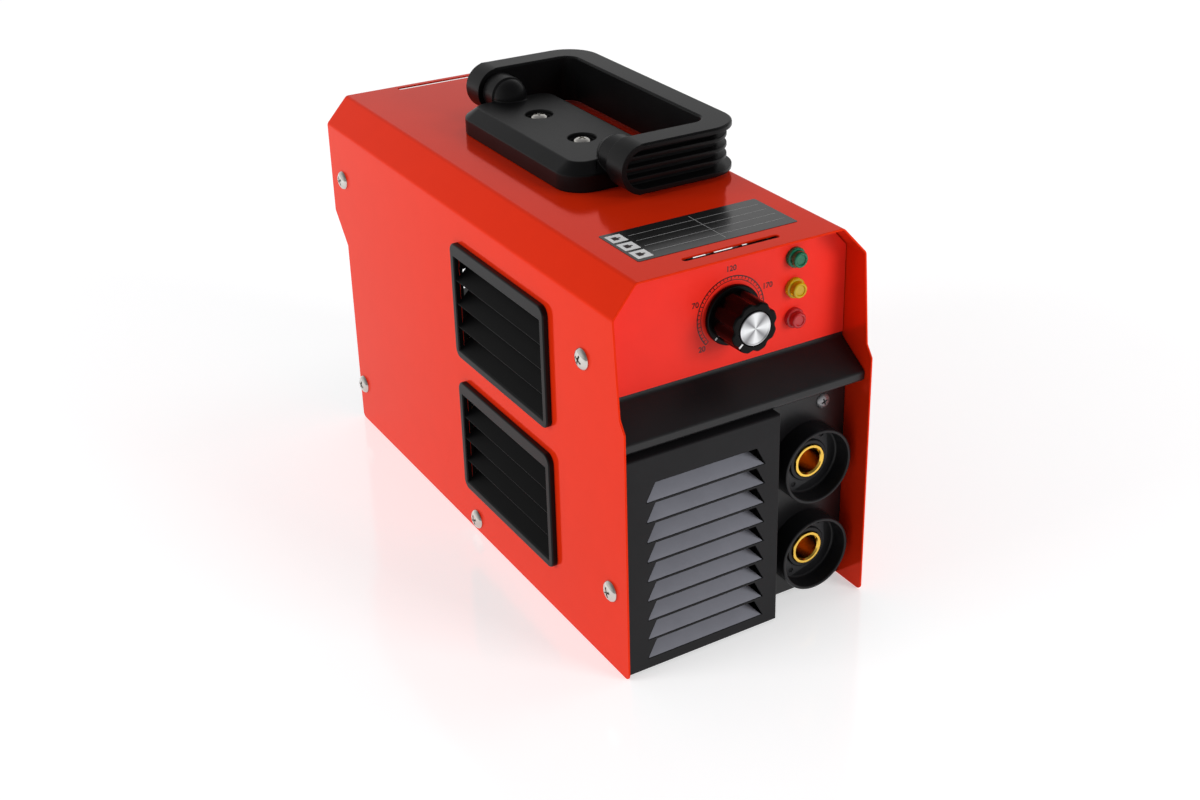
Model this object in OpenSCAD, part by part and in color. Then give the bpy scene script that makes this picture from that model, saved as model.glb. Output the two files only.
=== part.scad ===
// Stick welding inverter: sheet-steel casing with a folding carry handle, front panel with a current
// knob and three lamps, two output sockets, louvred vents, rear fan and the power electronics inside.
// +Z is up, the front faces -Y, and the origin is on the floor under the middle of the casing.

/* [Casing] */
// Width over the cover's side walls
case_w = 140; // [136:1:150]
// Height of the cover above the floor
case_h = 200; // [196:1:212]
// Length from the front lower edge to the rear upper edge
case_l = 331; // [326:1:345]
// Thickness of the cover sheet
cover_t = 1; // [0.8:0.1:1.2]
// Width of the chamfer along each top edge
chamfer_x = 13; // [10:0.5:15]
// Height of the chamfer along each top edge
chamfer_z = 14.5; // [12:0.5:16]
// Outer bend radius of the cover
bend_r = 3; // [2:0.5:5]

/* [Front] */
// Distance of the control panel behind the cover's front lower edge
panel_setback = 22.5; // [20:0.5:24]
// Distance of the socket plate behind the cover's front lower edge
plate_setback = 18.5; // [17:0.5:20]
// Height of the bend between the panel and the ledge
ledge_z = 137; // [134:1:139]
// Height of the ledge's lip above the floor
lip_z = 119.2; // [118.9:0.1:121]
// Thickness of the bent front sheet
plate_t = 1.2; // [1:0.1:1.5]

/* [Controls] */
// Sideways place of the current knob
knob_x = 2; // [-4:0.5:6]
// Height of the current knob
knob_z = 165.5; // [163:0.5:168]
// Radius of the knob's skirt
knob_skirt_r = 15; // [14:0.5:17]
// Radius of the knob's fluted body
knob_body_r = 12.6; // [11.5:0.1:13.5]
// Angle of the pointer at the lowest setting, counter-clockwise from +X
knob_rest_angle = 222; // [215:1:230]
// Sideways place of the three lamps
lamp_x = 38; // [34:0.5:42]
// Height of the lowest lamp
lamp_z = 154.5; // [152:0.5:158]
// Distance between lamps
lamp_pitch = 15.6; // [14:0.1:17]

/* [Sockets] */
// Sideways place of both output sockets
socket_x = 45; // [44:0.5:46]
// Height of the lower socket
socket_z = 26.5; // [24:0.5:28]
// Distance between the two sockets
socket_pitch = 50.5; // [48:0.5:54]
// Outer radius of the socket shroud
shroud_r = 20; // [19:0.5:20.5]
// Bore radius of the brass insert
socket_bore_r = 6.5; // [6:0.1:6.6]

/* [Vents] */
// Length of a side vent
vent_l = 98.5; // [90:0.5:104]
// Height of a side vent
vent_h = 64.5; // [62:0.5:66]
// How far a side vent stands out of the cover
vent_proud = 3; // [2:0.5:4]
// Blades in a side vent
vent_blades = 3; // [2:1:4]
// Louvres in the front grille
louvres = 9; // [6:1:10]
// Distance between the louvres
louvre_pitch = 10.75; // [10.2:0.05:10.9]

/* [Handle] */
// Radius of the handle's hinge ends
hub_r = 13; // [12:0.5:13.5]
// Length of the handle along the casing
grip_l = 168; // [160:1:176]
// Reach of the handle from its hinge to the outside of the grip
grip_reach = 60.5; // [58:0.5:66]
// Width of the handle's legs
leg_w = 15; // [13:0.5:16]
// Length of the handle's base plate
handle_base_l = 126; // [118:1:128]
// Width of the handle's base plate
handle_base_w = 60; // [56:1:60]

/* [Fan] */
// Side of the square fan
fan_size = 92; // [80:1:92]
// Blades on the fan rotor
fan_blades = 7; // [5:1:9]

/* [Hidden] */

// Casing outline
front_y = -case_l / 2;
rear_y = case_l / 2;
front_top_y = front_y + 9.5;
front_mid_y = front_y + 4.1;
front_jog_top = 139;
front_jog_low = 133;
rear_low_y = rear_y - 14.9;
rear_jog_top = 132;
rear_jog_low = 114;
corner_r = 3;
inner_w = case_w - 2 * cover_t;
fit_gap = 0.3;
hole_gap = 0.1;
// How far a cutter reaches past the sheet that it cuts
cut = 2;
top_slot_l = 53;
top_slot_w = 3.6;
top_slot_r = 1.7;
top_slot_places = [front_y + 19.5, rear_y - 5.2];
label_l = 35.5;
label_w = 88;
label_y = front_y + 46;
label_t = 0.2;
label_r = 1;

// Front and rear sheets
panel_y = front_y + panel_setback;
plate_y = front_y + plate_setback;
grille_y = front_y + 1.5;
lip_y = front_y + 4;
lip_top_z = lip_z + 5.4;
rear_face_y = rear_low_y - 4;
plate_top_z = case_h - cover_t - fit_gap;
overlay_t = 0.3;
overlay_y = panel_y - overlay_t;
sheet_low_z = 1.5;
plate_bend_r = 1.9;
top_flange_l = 7;
overlay_low_z = ledge_z + 2;
overlay_top_z = plate_top_z - plate_t - plate_bend_r;
plate_screw = [55, 106];
// Left, right, bottom and top of the window behind the grille
inlet = [-60, 10, 10, 104];
tray_side_h = 14;
tray_bend_r = 1.5;
// Side flanges of the sheets: [depth, bottom, top]
flange_root = 0.2;
panel_flange = [19, 140, 176];
plate_flange = [24, 30, 56];
rear_low_flange = [14, 14.6, 38];
rear_top_flange = [6.5, 146, 168];

// Grille
grille_left = -inner_w / 2 + fit_gap;
grille_right = 17;
grille_top = 117.3;
louvre_left = -58;
louvre_right = 8.5;
louvre_slant = 5;
louvre_gap = 1.05;
louvre_h = louvre_pitch - louvre_gap;
louvre_low_z = 7.4;
louvre_tilt = 55;
louvre_t = 0.8;
louvre_root = 0.15;
grille_t = 1;

// Side vents
vent_y = -49.2;
vent_low_z = 26;
vent_gap_z = 79;
vent_rim_side = 4;
vent_rim_top = 7.5;
vent_rim_low = 4.5;
vent_corner_r = 5;
vent_depth = 8;
vent_lap = 4;
vent_plug_in = vent_lap + fit_gap;
vent_blade_t = 1.3;
vent_blade_w = 18;
vent_blade_tilt = 45;
vent_blade_in = 0.8;
vent_blade_root = 0.5;

// Fasteners: [y, z] places of the side screws
side_screw_places = [[147.5, 156], [143.5, 25], [-130.3, 156.3], [-7.5, 7.7], [-150.8, 43]];
right_screw_places = [[147.5, 156], [143.5, 25], [-130.3, 156.3], [-7.5, 7.7], [-130.3, 43]];
screw_head_r = 5.4;
screw_head_h = 2.7;
screw_r = 2;
screw_l = 6;
screw_reach = screw_l + 1;
small_screw_r = 1.5;
small_head_r = 3.9;
small_head_h = 1.6;
small_screw_l = 6;
rear_screw_l = 8;
// Dome radius and cross recess, in parts of the head's radius
dome_share = 1.5;
cross_share = 0.22;
cross_depth = 1.4;
cross_turn = 18;

// Handle
handle_y = 12;
hinge_z = case_h + 15;
grip_h = 2 * hub_r;
leg_in_y = grip_l / 2 - leg_w;
grip_in_x = 46;
grip_corner_r = 20;
grip_in_r = 8;
lug_r = 10.5;
pin_r = 3;
pin_reach = 5.8;
running_gap = 0.05;
handle_base_top = 14;
handle_bevel = 7;
handle_bevel_z = 9;
handle_seat_z = 11.4;
handle_screw_pitch = 46;
handle_screw_hole_r = 2.1;
handle_corner_r = 15;
pin_in_lug = 14;
grip_recess_r = hub_r - 3;
grip_recess_d = 2.6;
groove_h = 3.5;
groove_d = 7.5;
groove_pitch = groove_h + 2;
grooves = 4;
grip_blank = 100;
lug_l = 12;
lug_end_r = lug_r - 0.8;
handle_seat_r = 7.4;
handle_head_r = 4.8;
handle_head_h = 2.6;
handle_screw_l = 18;
handle_hole_l = 30;
nut_h = 3.2;
nut_r = 4;

// Knob, lamps and potentiometer
shaft_r = 2.95;
knob_front_y = front_y + 2;
knob_cap_r = 8.3;
knob_cap_t = 1.6;
skirt_front_y = panel_y - 3.4;
skirt_rear_y = panel_y - 1.2;
flutes = 8;
flute_r = 3.6;
flute_out = 2.4;
knob_proud = 0.6;
knob_root = 0.4;
shaft_end_y = knob_front_y + 6;
shaft_end_gap = 0.2;
shaft_tail = 6;
bushing_r = 3.5;
bushing_l = 3;
bushing_nut_r = 5.6;
bushing_nut_h = 2;
knob_recess_r = bushing_nut_r + 1.8;
pot_r = 8.3;
pot_back = 11;
// Terminal strip: half width, front, back, bottom and top, from the shaft
terminals = [7, 4, 5.6, -14, -7];
lamp_stem_r = 3;
lamp_stem_l = 9;
lamp_lens_r = 4;
lamp_proud = 6;
lamp_flange_r = 5.1;
lamp_flange_t = 2.6;
lamp_board_margin = 9;
lamp_board_t = 1.6;
lamp_board_hole_r = 1.2;
lamp_board_holes = [6, 22];

// Sockets
shroud_front_y = plate_y - 11.5;
shroud_wall = 1.7;
shroud_floor_t = 1.5;
boss_r = 11;
boss_front_y = plate_y - 3.4;
insert_front_y = plate_y - 4.4;
insert_r = 9;
insert_tail_r = 5;
bore_end_y = plate_y + 21;
boss_end_y = plate_y + 16;
insert_back_y = plate_y + 24;
insert_end_y = plate_y + 44;
busbar_t = 4;
busbar_reach_x = 8;
busbar_reach_z = 9;
busbar_tab = 16;
busbar_foot_t = 3;
socket_nut_r = 8.6;
socket_nut_h = 5;
flange_screw_r = 14.5;
flange_hole_r = 1.4;
flange_screw_angles = [55, 235];

// Rear panel features
switch_x = 32;
switch_z = 163;
switch_bezel = [12, 2.2, 16];
switch_in = [9.5, 24, 13];
switch_gap = 0.2;
switch_well = [7, 12, 11.6];
rocker_back = 3;
rocker_pin_r = 1.45;
rocker_pin_reach = 8.4;
rocker_w = 13.2;
rocker_tilt = 10;
// Rocker's section: [depth, half height] of its back and front corners
rocker_rear = [-5, 6];
rocker_front = [1.5, 10.2];
rocker_dish_y = 31.5;
rocker_dish_r = 28.5;
rocker_sweep = 20;
gland_x = -32;
gland_z = 163;
earth_x = 0;
earth_z = 112;
earth_r = 3;
gland_r = 10;
gland_bore_r = 5.5;
gland_nut_r = 13.5;
gland_in = 9;
gland_hex_t = 3.5;
gland_cap_r = 12;
gland_cap_end = 15;
gland_mouth_r = 9.4;
gland_end = 18;
gland_nut_t = 5;
earth_in = 6;
earth_out = 14;
earth_nut_r = 5.6;
earth_nut_h = 3.6;
fan_z = 53;
fan_t = 25;
fan_hole_r = 2.1;
fan_head_r = 3.6;
fan_head_h = 1.8;
fan_screw_l = 26;
fan_window_r = fan_size / 2 - 3;
fan_bore_r = fan_size / 2 - 2.5;
fan_corner_r = 4;
fan_plate_t = 4;
fan_boss_r = 18;
fan_arm_w = 4.4;
fan_arm_t = 3;
fan_arm_in = 0.5;
fan_arm_r = 15;
fan_shaft_r = 2.95;
fan_shaft_l = 3.3;
fan_seat_l = 1.5;
fan_hub_r = 19;
fan_hub_front = 5;
fan_hub_back = 2;
fan_blade_t = 1.8;
fan_blade_w = 19;
fan_blade_l = fan_size / 2 - 22.5;
fan_blade_twist = 38;
fan_blade_root = 1;
guard_wire = 0.9;
guard_rings = [14:10:44];
guard_ring_y = rear_face_y + 2.6;
guard_spoke_y = rear_face_y + 1.1;
guard_ear_y = rear_face_y + 0.1;
guard_ear_t = 1.4;
guard_ear_w = 0.8;
fan_hole_pitch = fan_size - 9.5;
fan_front_y = rear_face_y - plate_t - fan_t;
rear_screw_places = [[-56, 118], [56, 118]];

// Electronics
board_z = 12;
board_t = 1.6;
board_top = board_z + board_t;
board_x = 56;
board_front_y = -116;
board_back_y = 91;
standoff_r = 3;
board_holes_x = [-50, 50];
board_holes_y = [-110, 85];
sink_h = 88;
sink_fins = 14;
sink_fin_pitch = 6.5;
sink_fin_t = 1.5;
sink_base_t = 5;
sink_fin_h = 22;
sink_y0 = -96;
sink_y1 = 24;
sink_first_z = 1;
sink_left_x = -33;
sink_right_x = 25;
transformer_x = 6;
choke_x = -38;
choke_z = board_top + 20.4;
choke_turns = 10;
choke_r = 18;
choke_hole_r = 9;
choke_w = 18;
wire_t = 2.6;
wire_across = 2;
wire_gap = 0.2;
// Transformer: half sizes of the core, its windows' [near, far] sides and its yoke height
core_half = [19, 22];
core_h = 60;
core_window = [5, 13];
core_yoke = 8;
coil_half = [12.7, 28];
coil_low = 10;
coil_top = 50;
magnetics_y = 66;
package_t = 5;
package_pitch = 28;
package_w = 16;
package_h = 21;
packages = 4;
packages_y = -84;
lead_h = 14;
lead_w = 1.2;
lead_t = 0.8;
lead_pitch = 5.4;
lead_first = 2.3;
capacitors_x = -4;
capacitor_r = 11;
capacitor_h = 46;
capacitor_pitch = 34;
// Left, right, front and back of the parts behind the right heat sink
rectifier = [28, 56, 30, 58];
rectifier_h = 10;
rectifier_hole_r = 2.5;
relay = [30, 54, 66, 86];
relay_h = 20;
control_board_x = [-26, 16];
control_board_y = -110;
control_board_h = 66;

// Points of an arc
function arc(cx, cy, r, a0, a1, n = 6) =
    [for (i = [0:n]) let (a = a0 + (a1 - a0) * i / n) [cx + r * cos(a), cy + r * sin(a)]];

function unit(v) = v / norm(v);

// Open path with each inner corner rounded by radius r
function rounded_path(p, r, n = 5) = concat([p[0]],
    [for (i = [1:len(p) - 2])
        let (a = unit(p[i - 1] - p[i]), b = unit(p[i + 1] - p[i]),
            half = acos(a * b) / 2, d = r / tan(half), c = p[i] + unit(a + b) * r / sin(half),
            p0 = p[i] + a * d - c, turn = 180 - 2 * half, s = sign(a.x * b.y - a.y * b.x))
        for (k = [0:n]) let (t = -s * turn * k / n)
            c + [p0.x * cos(t) - p0.y * sin(t), p0.x * sin(t) + p0.y * cos(t)]],
    [p[len(p) - 1]]);

// Path moved sideways by d, to the left of its direction
function moved_path(p, d) = let (last = len(p) - 1)
    [for (i = [0:last])
        let (ahead = unit(p[min(i + 1, last)] - p[min(i, last - 1)]),
            behind = unit(p[max(i, 1)] - p[max(i, 1) - 1]), along = unit(ahead + behind))
        p[i] + [-along.y, along.x] * d / (along * behind)];

function reversed(p) = [for (i = [len(p) - 1:-1:0]) p[i]];

// Bent sheet section that follows a path, with its thickness on the path's left
function sheet_outline(p, t) = concat(p, reversed(moved_path(p, t)));

// 2-D rectangle with true round corners, centred
module rounded_rect(l, w, r) {
    square([l - 2 * r, w], center = true);
    square([l, w - 2 * r], center = true);
    for (sx = [-1, 1], sy = [-1, 1])
        translate([sx * (l / 2 - r), sy * (w / 2 - r)])
            circle(r, $fn = 32);
}

// Extrusion of an (x, z) outline from y0 to y1
module along_y(y0, y1) {
    translate([0, y1, 0])
        rotate([90, 0, 0])
            linear_extrude(y1 - y0)
                children();
}

// Extrusion of a (y, z) outline from x0 to x1
module along_x(x0, x1) {
    translate([x0, 0, 0])
        rotate([90, 0, 90])
            linear_extrude(x1 - x0)
                children();
}

// Cylinder along Y from y0 to y1
module rod_y(x, z, y0, y1, r, fn = 48) {
    translate([x, y1, z])
        rotate([90, 0, 0])
            cylinder(h = y1 - y0, r = r, $fn = fn);
}

// Cylinder along X from x0 to x1
module rod_x(y, z, x0, x1, r, fn = 32) {
    translate([x0, y, z])
        rotate([0, 90, 0])
            cylinder(h = x1 - x0, r = r, $fn = fn);
}

module box(x0, x1, y0, y1, z0, z1) {
    translate([x0, y0, z0])
        cube([x1 - x0, y1 - y0, z1 - z0]);
}

module at_sockets() {
    for (i = [0:1])
        translate([socket_x, 0, socket_z + i * socket_pitch])
            children();
}

module at_lamps() {
    for (i = [0:2])
        translate([lamp_x, 0, lamp_z + i * lamp_pitch])
            children();
}

module at_flange_screws() {
    for (a = flange_screw_angles)
        translate([flange_screw_r * cos(a), 0, flange_screw_r * sin(a)])
            children();
}

module at_fan_corners() {
    for (sx = [-1, 1], sz = [-1, 1])
        translate([sx * fan_hole_pitch / 2, 0, fan_z + sz * fan_hole_pitch / 2])
            children();
}

module at_board_corners() {
    for (x = board_holes_x, y = board_holes_y)
        translate([x, y, 0])
            children();
}

// The same shape at both ends of the handle
module both_ends() {
    for (s = [0, 1])
        mirror([0, s, 0])
            children();
}

module at_handle_screws() {
    for (s = [-1, 1])
        translate([0, handle_y + s * handle_screw_pitch / 2, 0])
            children();
}

// Section of the cover, from the left foot over the top to the right foot
module cover_section(inset) {
    w = case_w / 2 - inset;
    h = case_h - inset;
    slope = atan(chamfer_x / chamfer_z);
    shoulder_z = case_h - chamfer_z - inset * tan(slope / 2);
    shoulder_x = case_w / 2 - chamfer_x - inset * tan(45 - slope / 2);
    polygon(rounded_path([[-w, 0], [-w, shoulder_z], [-shoulder_x, h],
        [shoulder_x, h], [w, shoulder_z], [w, 0]], bend_r - inset));
}

// Side view of the cover, with its leaning front edge and the jogs
module cover_side() {
    polygon(concat(
        arc(front_y + corner_r, corner_r, corner_r, 270, 180),
        [[front_y, front_jog_low], [front_mid_y, front_jog_top], [front_top_y, case_h],
            [rear_y, case_h], [rear_y, rear_jog_top], [rear_low_y, rear_jog_low]],
        arc(rear_low_y - corner_r, corner_r, corner_r, 0, -90)));
}

module vent_window(side, low_z) {
    along_x(side * case_w / 2 - cut, side * case_w / 2 + cut)
        translate([vent_y, low_z + vent_h / 2])
            square([vent_l - 2 * vent_lap, vent_h - 2 * vent_lap], center = true);
}

module top_slot(y) {
    translate([0, y, case_h - cut])
        linear_extrude(2 * cut)
            rounded_rect(top_slot_l, top_slot_w, top_slot_r);
}

module side_holes(side, places) {
    for (p = places)
        rod_x(p.x, p.y, side * case_w / 2 - screw_reach, side * case_w / 2 + screw_reach,
            screw_r + hole_gap);
}

module cover() {
    color("red")
        difference() {
            intersection() {
                along_y(front_y, rear_y)
                    difference() {
                        cover_section(0);
                        cover_section(cover_t);
                        translate([-inner_w / 2, -cut])
                            square([inner_w, 2 * cut]);
                    }
                along_x(-case_w / 2 - cut, case_w / 2 + cut)
                    cover_side();
            }
            for (z = [vent_low_z, vent_low_z + vent_gap_z]) {
                vent_window(-1, z);
                vent_window(1, z);
            }
            side_holes(-1, side_screw_places);
            side_holes(1, right_screw_places);
            for (y = top_slot_places)
                top_slot(y);
            at_handle_screws()
                translate([0, 0, case_h - cut])
                    cylinder(h = 2 * cut, r = handle_screw_hole_r, $fn = 24);
        }
}

// Bottom sheet with upright sides, which the cover is screwed to
module base_tray() {
    w = inner_w / 2 - fit_gap;
    color("black")
        difference() {
            along_y(plate_y + plate_t + fit_gap, rear_face_y - plate_t - fit_gap)
                polygon(sheet_outline(rounded_path([[-w, tray_side_h], [-w, 0], [w, 0], [w, tray_side_h]],
                    tray_bend_r), plate_t));
            side_holes(-1, [side_screw_places[3]]);
            side_holes(1, [right_screw_places[3]]);
            at_board_corners()
                translate([0, 0, -cut])
                    cylinder(h = plate_t + 2 * cut, r = small_screw_r + hole_gap, $fn = 24);
        }
}

// Bent section of the front sheet: top flange, panel, ledge, lip and socket plate
module front_plate_section() {
    top_z = plate_top_z - plate_t;
    polygon(sheet_outline(rounded_path([[panel_y - top_flange_l, top_z], [panel_y, top_z],
        [panel_y, ledge_z], [lip_y, lip_top_z],
        [lip_y, lip_z], [plate_y, lip_z], [plate_y, sheet_low_z]], plate_bend_r), plate_t));
}

// Room inside the cover that the front and rear sheets are cut to
module inner_room(y0, y1) {
    along_y(y0, y1)
        translate([0, -hole_gap])
            cover_section(cover_t + fit_gap);
}

// Side flange of a sheet from y0 to y1, as high as flange says
module side_flange(side, y0, y1, flange) {
    x = side * (inner_w / 2 - fit_gap);
    box(min(x, x - side * plate_t), max(x, x - side * plate_t), y0, y1, flange[1], flange[2]);
}

// Hole through a sheet of plate_t whose front is at y
module sheet_hole(x, z, y, r, fn = 48) {
    rod_y(x, z, y - cut, y + plate_t + cut, r, fn);
}

// Holes for the knob's bushing and the lamps
module panel_holes() {
    sheet_hole(knob_x, knob_z, panel_y, bushing_r + hole_gap);
    at_lamps()
        sheet_hole(0, 0, panel_y, lamp_stem_r + hole_gap);
}

module front_plate() {
    color("black")
        difference() {
            union() {
                intersection() {
                    along_x(-inner_w / 2, inner_w / 2)
                        front_plate_section();
                    inner_room(front_y, 0);
                }
                for (s = [-1, 1]) {
                    side_flange(s, panel_y + flange_root, panel_y + panel_flange[0], panel_flange);
                    side_flange(s, plate_y + flange_root, plate_y + plate_flange[0], plate_flange);
                }
            }
            side_holes(-1, [side_screw_places[2]]);
            side_holes(1, [right_screw_places[2], right_screw_places[4]]);
            panel_holes();
            at_sockets() {
                sheet_hole(0, 0, plate_y, boss_r + hole_gap);
                at_flange_screws()
                    sheet_hole(0, 0, plate_y, flange_hole_r, 24);
            }
            sheet_hole(plate_screw.x, plate_screw.y, plate_y, small_screw_r + hole_gap, 24);
            box(inlet[0], inlet[1], plate_y - cut, plate_y + plate_t + cut, inlet[2], inlet[3]);
        }
}

// Printed film on the upper panel
module panel_overlay() {
    color("red")
        difference() {
            intersection() {
                box(-inner_w / 2, inner_w / 2, overlay_y, panel_y, overlay_low_z, overlay_top_z);
                inner_room(front_y, 0);
            }
            panel_holes();
        }
}

// Outline of a louvre, drawn in from its opening's sides by inset
module louvre_shape(inset) {
    polygon([[louvre_left + inset, 0], [louvre_right - inset, 0],
        [louvre_right - louvre_slant - inset, louvre_h], [louvre_left + louvre_slant + inset, louvre_h]]);
}

module at_louvres() {
    for (i = [0:louvres - 1])
        translate([0, grille_y, louvre_low_z + i * louvre_pitch])
            children();
}

// Louvred sheet box over the air inlet; each flap is bent inward at its lower edge
module louvre_grille() {
    color("black")
        difference() {
            union() {
                difference() {
                    box(grille_left, grille_right, grille_y, plate_y - hole_gap, sheet_low_z, grille_top);
                    box(grille_left + grille_t, grille_right - grille_t, grille_y + grille_t, plate_y + cut,
                        sheet_low_z + grille_t, grille_top - grille_t);
                    at_louvres()
                        translate([0, grille_t + cut, 0])
                            rotate([90, 0, 0])
                                linear_extrude(grille_t + 2 * cut)
                                    louvre_shape(0);
                }
                at_louvres()
                    translate([0, louvre_root / 2, -louvre_root])
                        rotate([-louvre_tilt, 0, 0])
                            translate([0, louvre_t, 0])
                                rotate([90, 0, 0])
                                    linear_extrude(louvre_t)
                                        louvre_shape(fit_gap);
            }
            side_holes(-1, [side_screw_places[4]]);
        }
}

module rear_panel() {
    y1 = rear_face_y;
    y0 = y1 - plate_t;
    color("black")
        difference() {
            union() {
                intersection() {
                    box(-inner_w / 2, inner_w / 2, y0, y1, sheet_low_z, plate_top_z);
                    inner_room(0, rear_y);
                }
                for (s = [-1, 1]) {
                    side_flange(s, y0 - rear_low_flange[0], y0 + flange_root, rear_low_flange);
                    side_flange(s, y1 - flange_root, y1 + rear_top_flange[0], rear_top_flange);
                }
            }
            side_holes(-1, [side_screw_places[0], side_screw_places[1]]);
            side_holes(1, [right_screw_places[0], right_screw_places[1]]);
            sheet_hole(0, fan_z, y0, fan_window_r, 64);
            at_fan_corners()
                sheet_hole(0, 0, y0, fan_hole_r, 24);
            translate([switch_x, 0, switch_z])
                box(-switch_in.x - switch_gap, switch_in.x + switch_gap, y0 - cut, y1 + cut,
                    -switch_in.z - switch_gap, switch_in.z + switch_gap);
            sheet_hole(gland_x, gland_z, y0, gland_r + hole_gap);
            sheet_hole(earth_x, earth_z, y0, earth_r + hole_gap, 24);
            for (p = rear_screw_places)
                sheet_hole(p.x, p.y, y0, small_screw_r + hole_gap, 24);
        }
}

// Side vent, drawn for the left wall
module vent_left(low_z) {
    wall_x = -case_w / 2;
    front_x = wall_x - vent_proud;
    back_x = wall_x + cover_t + vent_depth;
    open_top = vent_h - vent_rim_top;
    open_y = vent_l / 2 - vent_rim_side;
    plug_y = vent_l / 2 - vent_plug_in;
    pitch = (open_top - vent_rim_low) / (vent_blades + 1);
    translate([0, vent_y, low_z]) {
        difference() {
            union() {
                along_x(front_x, wall_x)
                    translate([0, vent_h / 2])
                        rounded_rect(vent_l, vent_h, vent_corner_r);
                box(wall_x, back_x, -plug_y, plug_y, vent_plug_in, vent_h - vent_plug_in);
            }
            box(front_x - cut, 0, -open_y, open_y, vent_rim_low, open_top);
        }
        for (i = [0:vent_blades])
            intersection() {
                translate([front_x + vent_blade_in, -vent_l / 2, vent_rim_low + i * pitch])
                    rotate([0, vent_blade_tilt, 0])
                        cube([vent_blade_t, vent_l, vent_blade_w]);
                union() {
                    box(front_x + vent_blade_in, wall_x, -open_y - vent_blade_root, open_y + vent_blade_root,
                        vent_rim_low - vent_blade_root, open_top + vent_blade_root);
                    box(wall_x, back_x, -plug_y, plug_y, vent_plug_in, open_top + vent_blade_root);
                }
            }
    }
}

module vent_left_upper() {
    color("dimgray")
        vent_left(vent_low_z + vent_gap_z);
}

module vent_left_lower() {
    color("dimgray")
        vent_left(vent_low_z);
}

module vent_right_upper() {
    color("dimgray")
        mirror([1, 0, 0])
            vent_left(vent_low_z + vent_gap_z);
}

module vent_right_lower() {
    color("dimgray")
        mirror([1, 0, 0])
            vent_left(vent_low_z);
}

module rating_label() {
    color("gray")
        translate([0, label_y, case_h])
            linear_extrude(label_t)
                rounded_rect(label_w, label_l, label_r);
}

// Domed screw with a cross recess, head up, shank down, top of the sheet at z = 0
module dome_screw(head_r, head_h, shank_r, shank_l) {
    slot_w = head_r * cross_share;
    difference() {
        union() {
            intersection() {
                translate([0, 0, head_h - head_r * dome_share])
                    sphere(head_r * dome_share, $fn = 48);
                cylinder(h = head_h, r = head_r, $fn = 32);
            }
            translate([0, 0, -shank_l])
                cylinder(h = shank_l + hole_gap, r = shank_r, $fn = 24);
        }
        for (a = [0, 90])
            rotate(a)
                translate([-head_r / 2, -slot_w / 2, head_h - cross_depth])
                    cube([head_r, slot_w, cross_depth + cut]);
    }
}

module side_screws() {
    color("silver") {
        for (p = side_screw_places)
            translate([-case_w / 2, p.x, p.y])
                rotate([0, -90, 0])
                    rotate(cross_turn)
                        dome_screw(screw_head_r, screw_head_h, screw_r, screw_l);
        for (p = right_screw_places)
            translate([case_w / 2, p.x, p.y])
                rotate([0, 90, 0])
                    rotate(-cross_turn)
                        dome_screw(screw_head_r, screw_head_h, screw_r, screw_l);
    }
}

module front_plate_screw() {
    color("gray")
        translate([plate_screw.x, plate_y, plate_screw.y])
            rotate([90, 0, 0])
                dome_screw(small_head_r, small_head_h, small_screw_r, small_screw_l);
}

module rear_panel_screws() {
    color("silver")
        for (p = rear_screw_places)
            translate([p.x, rear_face_y, p.y])
                rotate([-90, 0, 0])
                    dome_screw(small_head_r, small_head_h, small_screw_r, rear_screw_l);
}

// Moulded base of the carry handle, with a round-ended lug for each hinge pin
module handle_base() {
    l = handle_base_l;
    w = handle_base_w;
    hinge_h = hinge_z - case_h;
    color("black")
        translate([0, handle_y, case_h])
            difference() {
                union() {
                    hull() {
                        linear_extrude(handle_bevel_z)
                            rounded_rect(w, l, handle_corner_r);
                        linear_extrude(handle_base_top)
                            rounded_rect(w - 2 * handle_bevel, l - 2 * handle_bevel,
                                handle_corner_r - handle_bevel);
                    }
                    both_ends() {
                        rod_y(0, hinge_h, leg_in_y - lug_l, leg_in_y - fit_gap, lug_r);
                        translate([0, leg_in_y - lug_l, hinge_h])
                            sphere(lug_end_r, $fn = 48);
                    }
                }
                both_ends() {
                    translate([0, handle_screw_pitch / 2, -cut])
                        cylinder(h = handle_hole_l, r = handle_screw_hole_r, $fn = 24);
                    translate([0, handle_screw_pitch / 2, handle_seat_z])
                        cylinder(h = handle_hole_l, r = handle_seat_r, $fn = 32);
                    rod_y(0, hinge_h, leg_in_y - pin_in_lug, leg_in_y + cut, pin_r, 32);
                }
            }
}

module handle_base_screws() {
    color("silver")
        at_handle_screws()
            translate([0, 0, case_h + handle_seat_z])
                dome_screw(handle_head_r, handle_head_h, screw_r, handle_screw_l);
}

// Hex nuts under the cover that hold the handle's base
module handle_nuts() {
    color("silver")
        at_handle_screws()
            translate([0, 0, case_h - cover_t - nut_h])
                difference() {
                    cylinder(h = nut_h, r = nut_r, $fn = 6);
                    translate([0, 0, -cut])
                        cylinder(h = nut_h + 2 * cut, r = screw_r, $fn = 24);
                }
}

module handle_pivot_pins() {
    color("silver")
        for (s = [-1, 1])
            rod_y(0, hinge_z, handle_y + (s > 0 ? leg_in_y - pin_in_lug : -leg_in_y - pin_reach),
                handle_y + (s > 0 ? leg_in_y + pin_reach : -leg_in_y + pin_in_lug), pin_r, 32);
}

// Plan view of the handle, lying folded, with its outside drawn in by inset
module grip_plan(inset) {
    reach = grip_reach - inset;
    l = grip_l - 2 * inset;
    difference() {
        translate([reach - grip_blank / 2, 0])
            rounded_rect(grip_blank, l, grip_corner_r - inset);
        translate([grip_in_x - grip_blank / 2, 0])
            rounded_rect(grip_blank, 2 * leg_in_y, grip_in_r);
    }
}

// Region of the handle in side view: a round end on the hinge and straight legs
module grip_side(r) {
    circle(r, $fn = 64);
    translate([0, -r])
        square([grip_reach + cut, 2 * r]);
}

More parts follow.
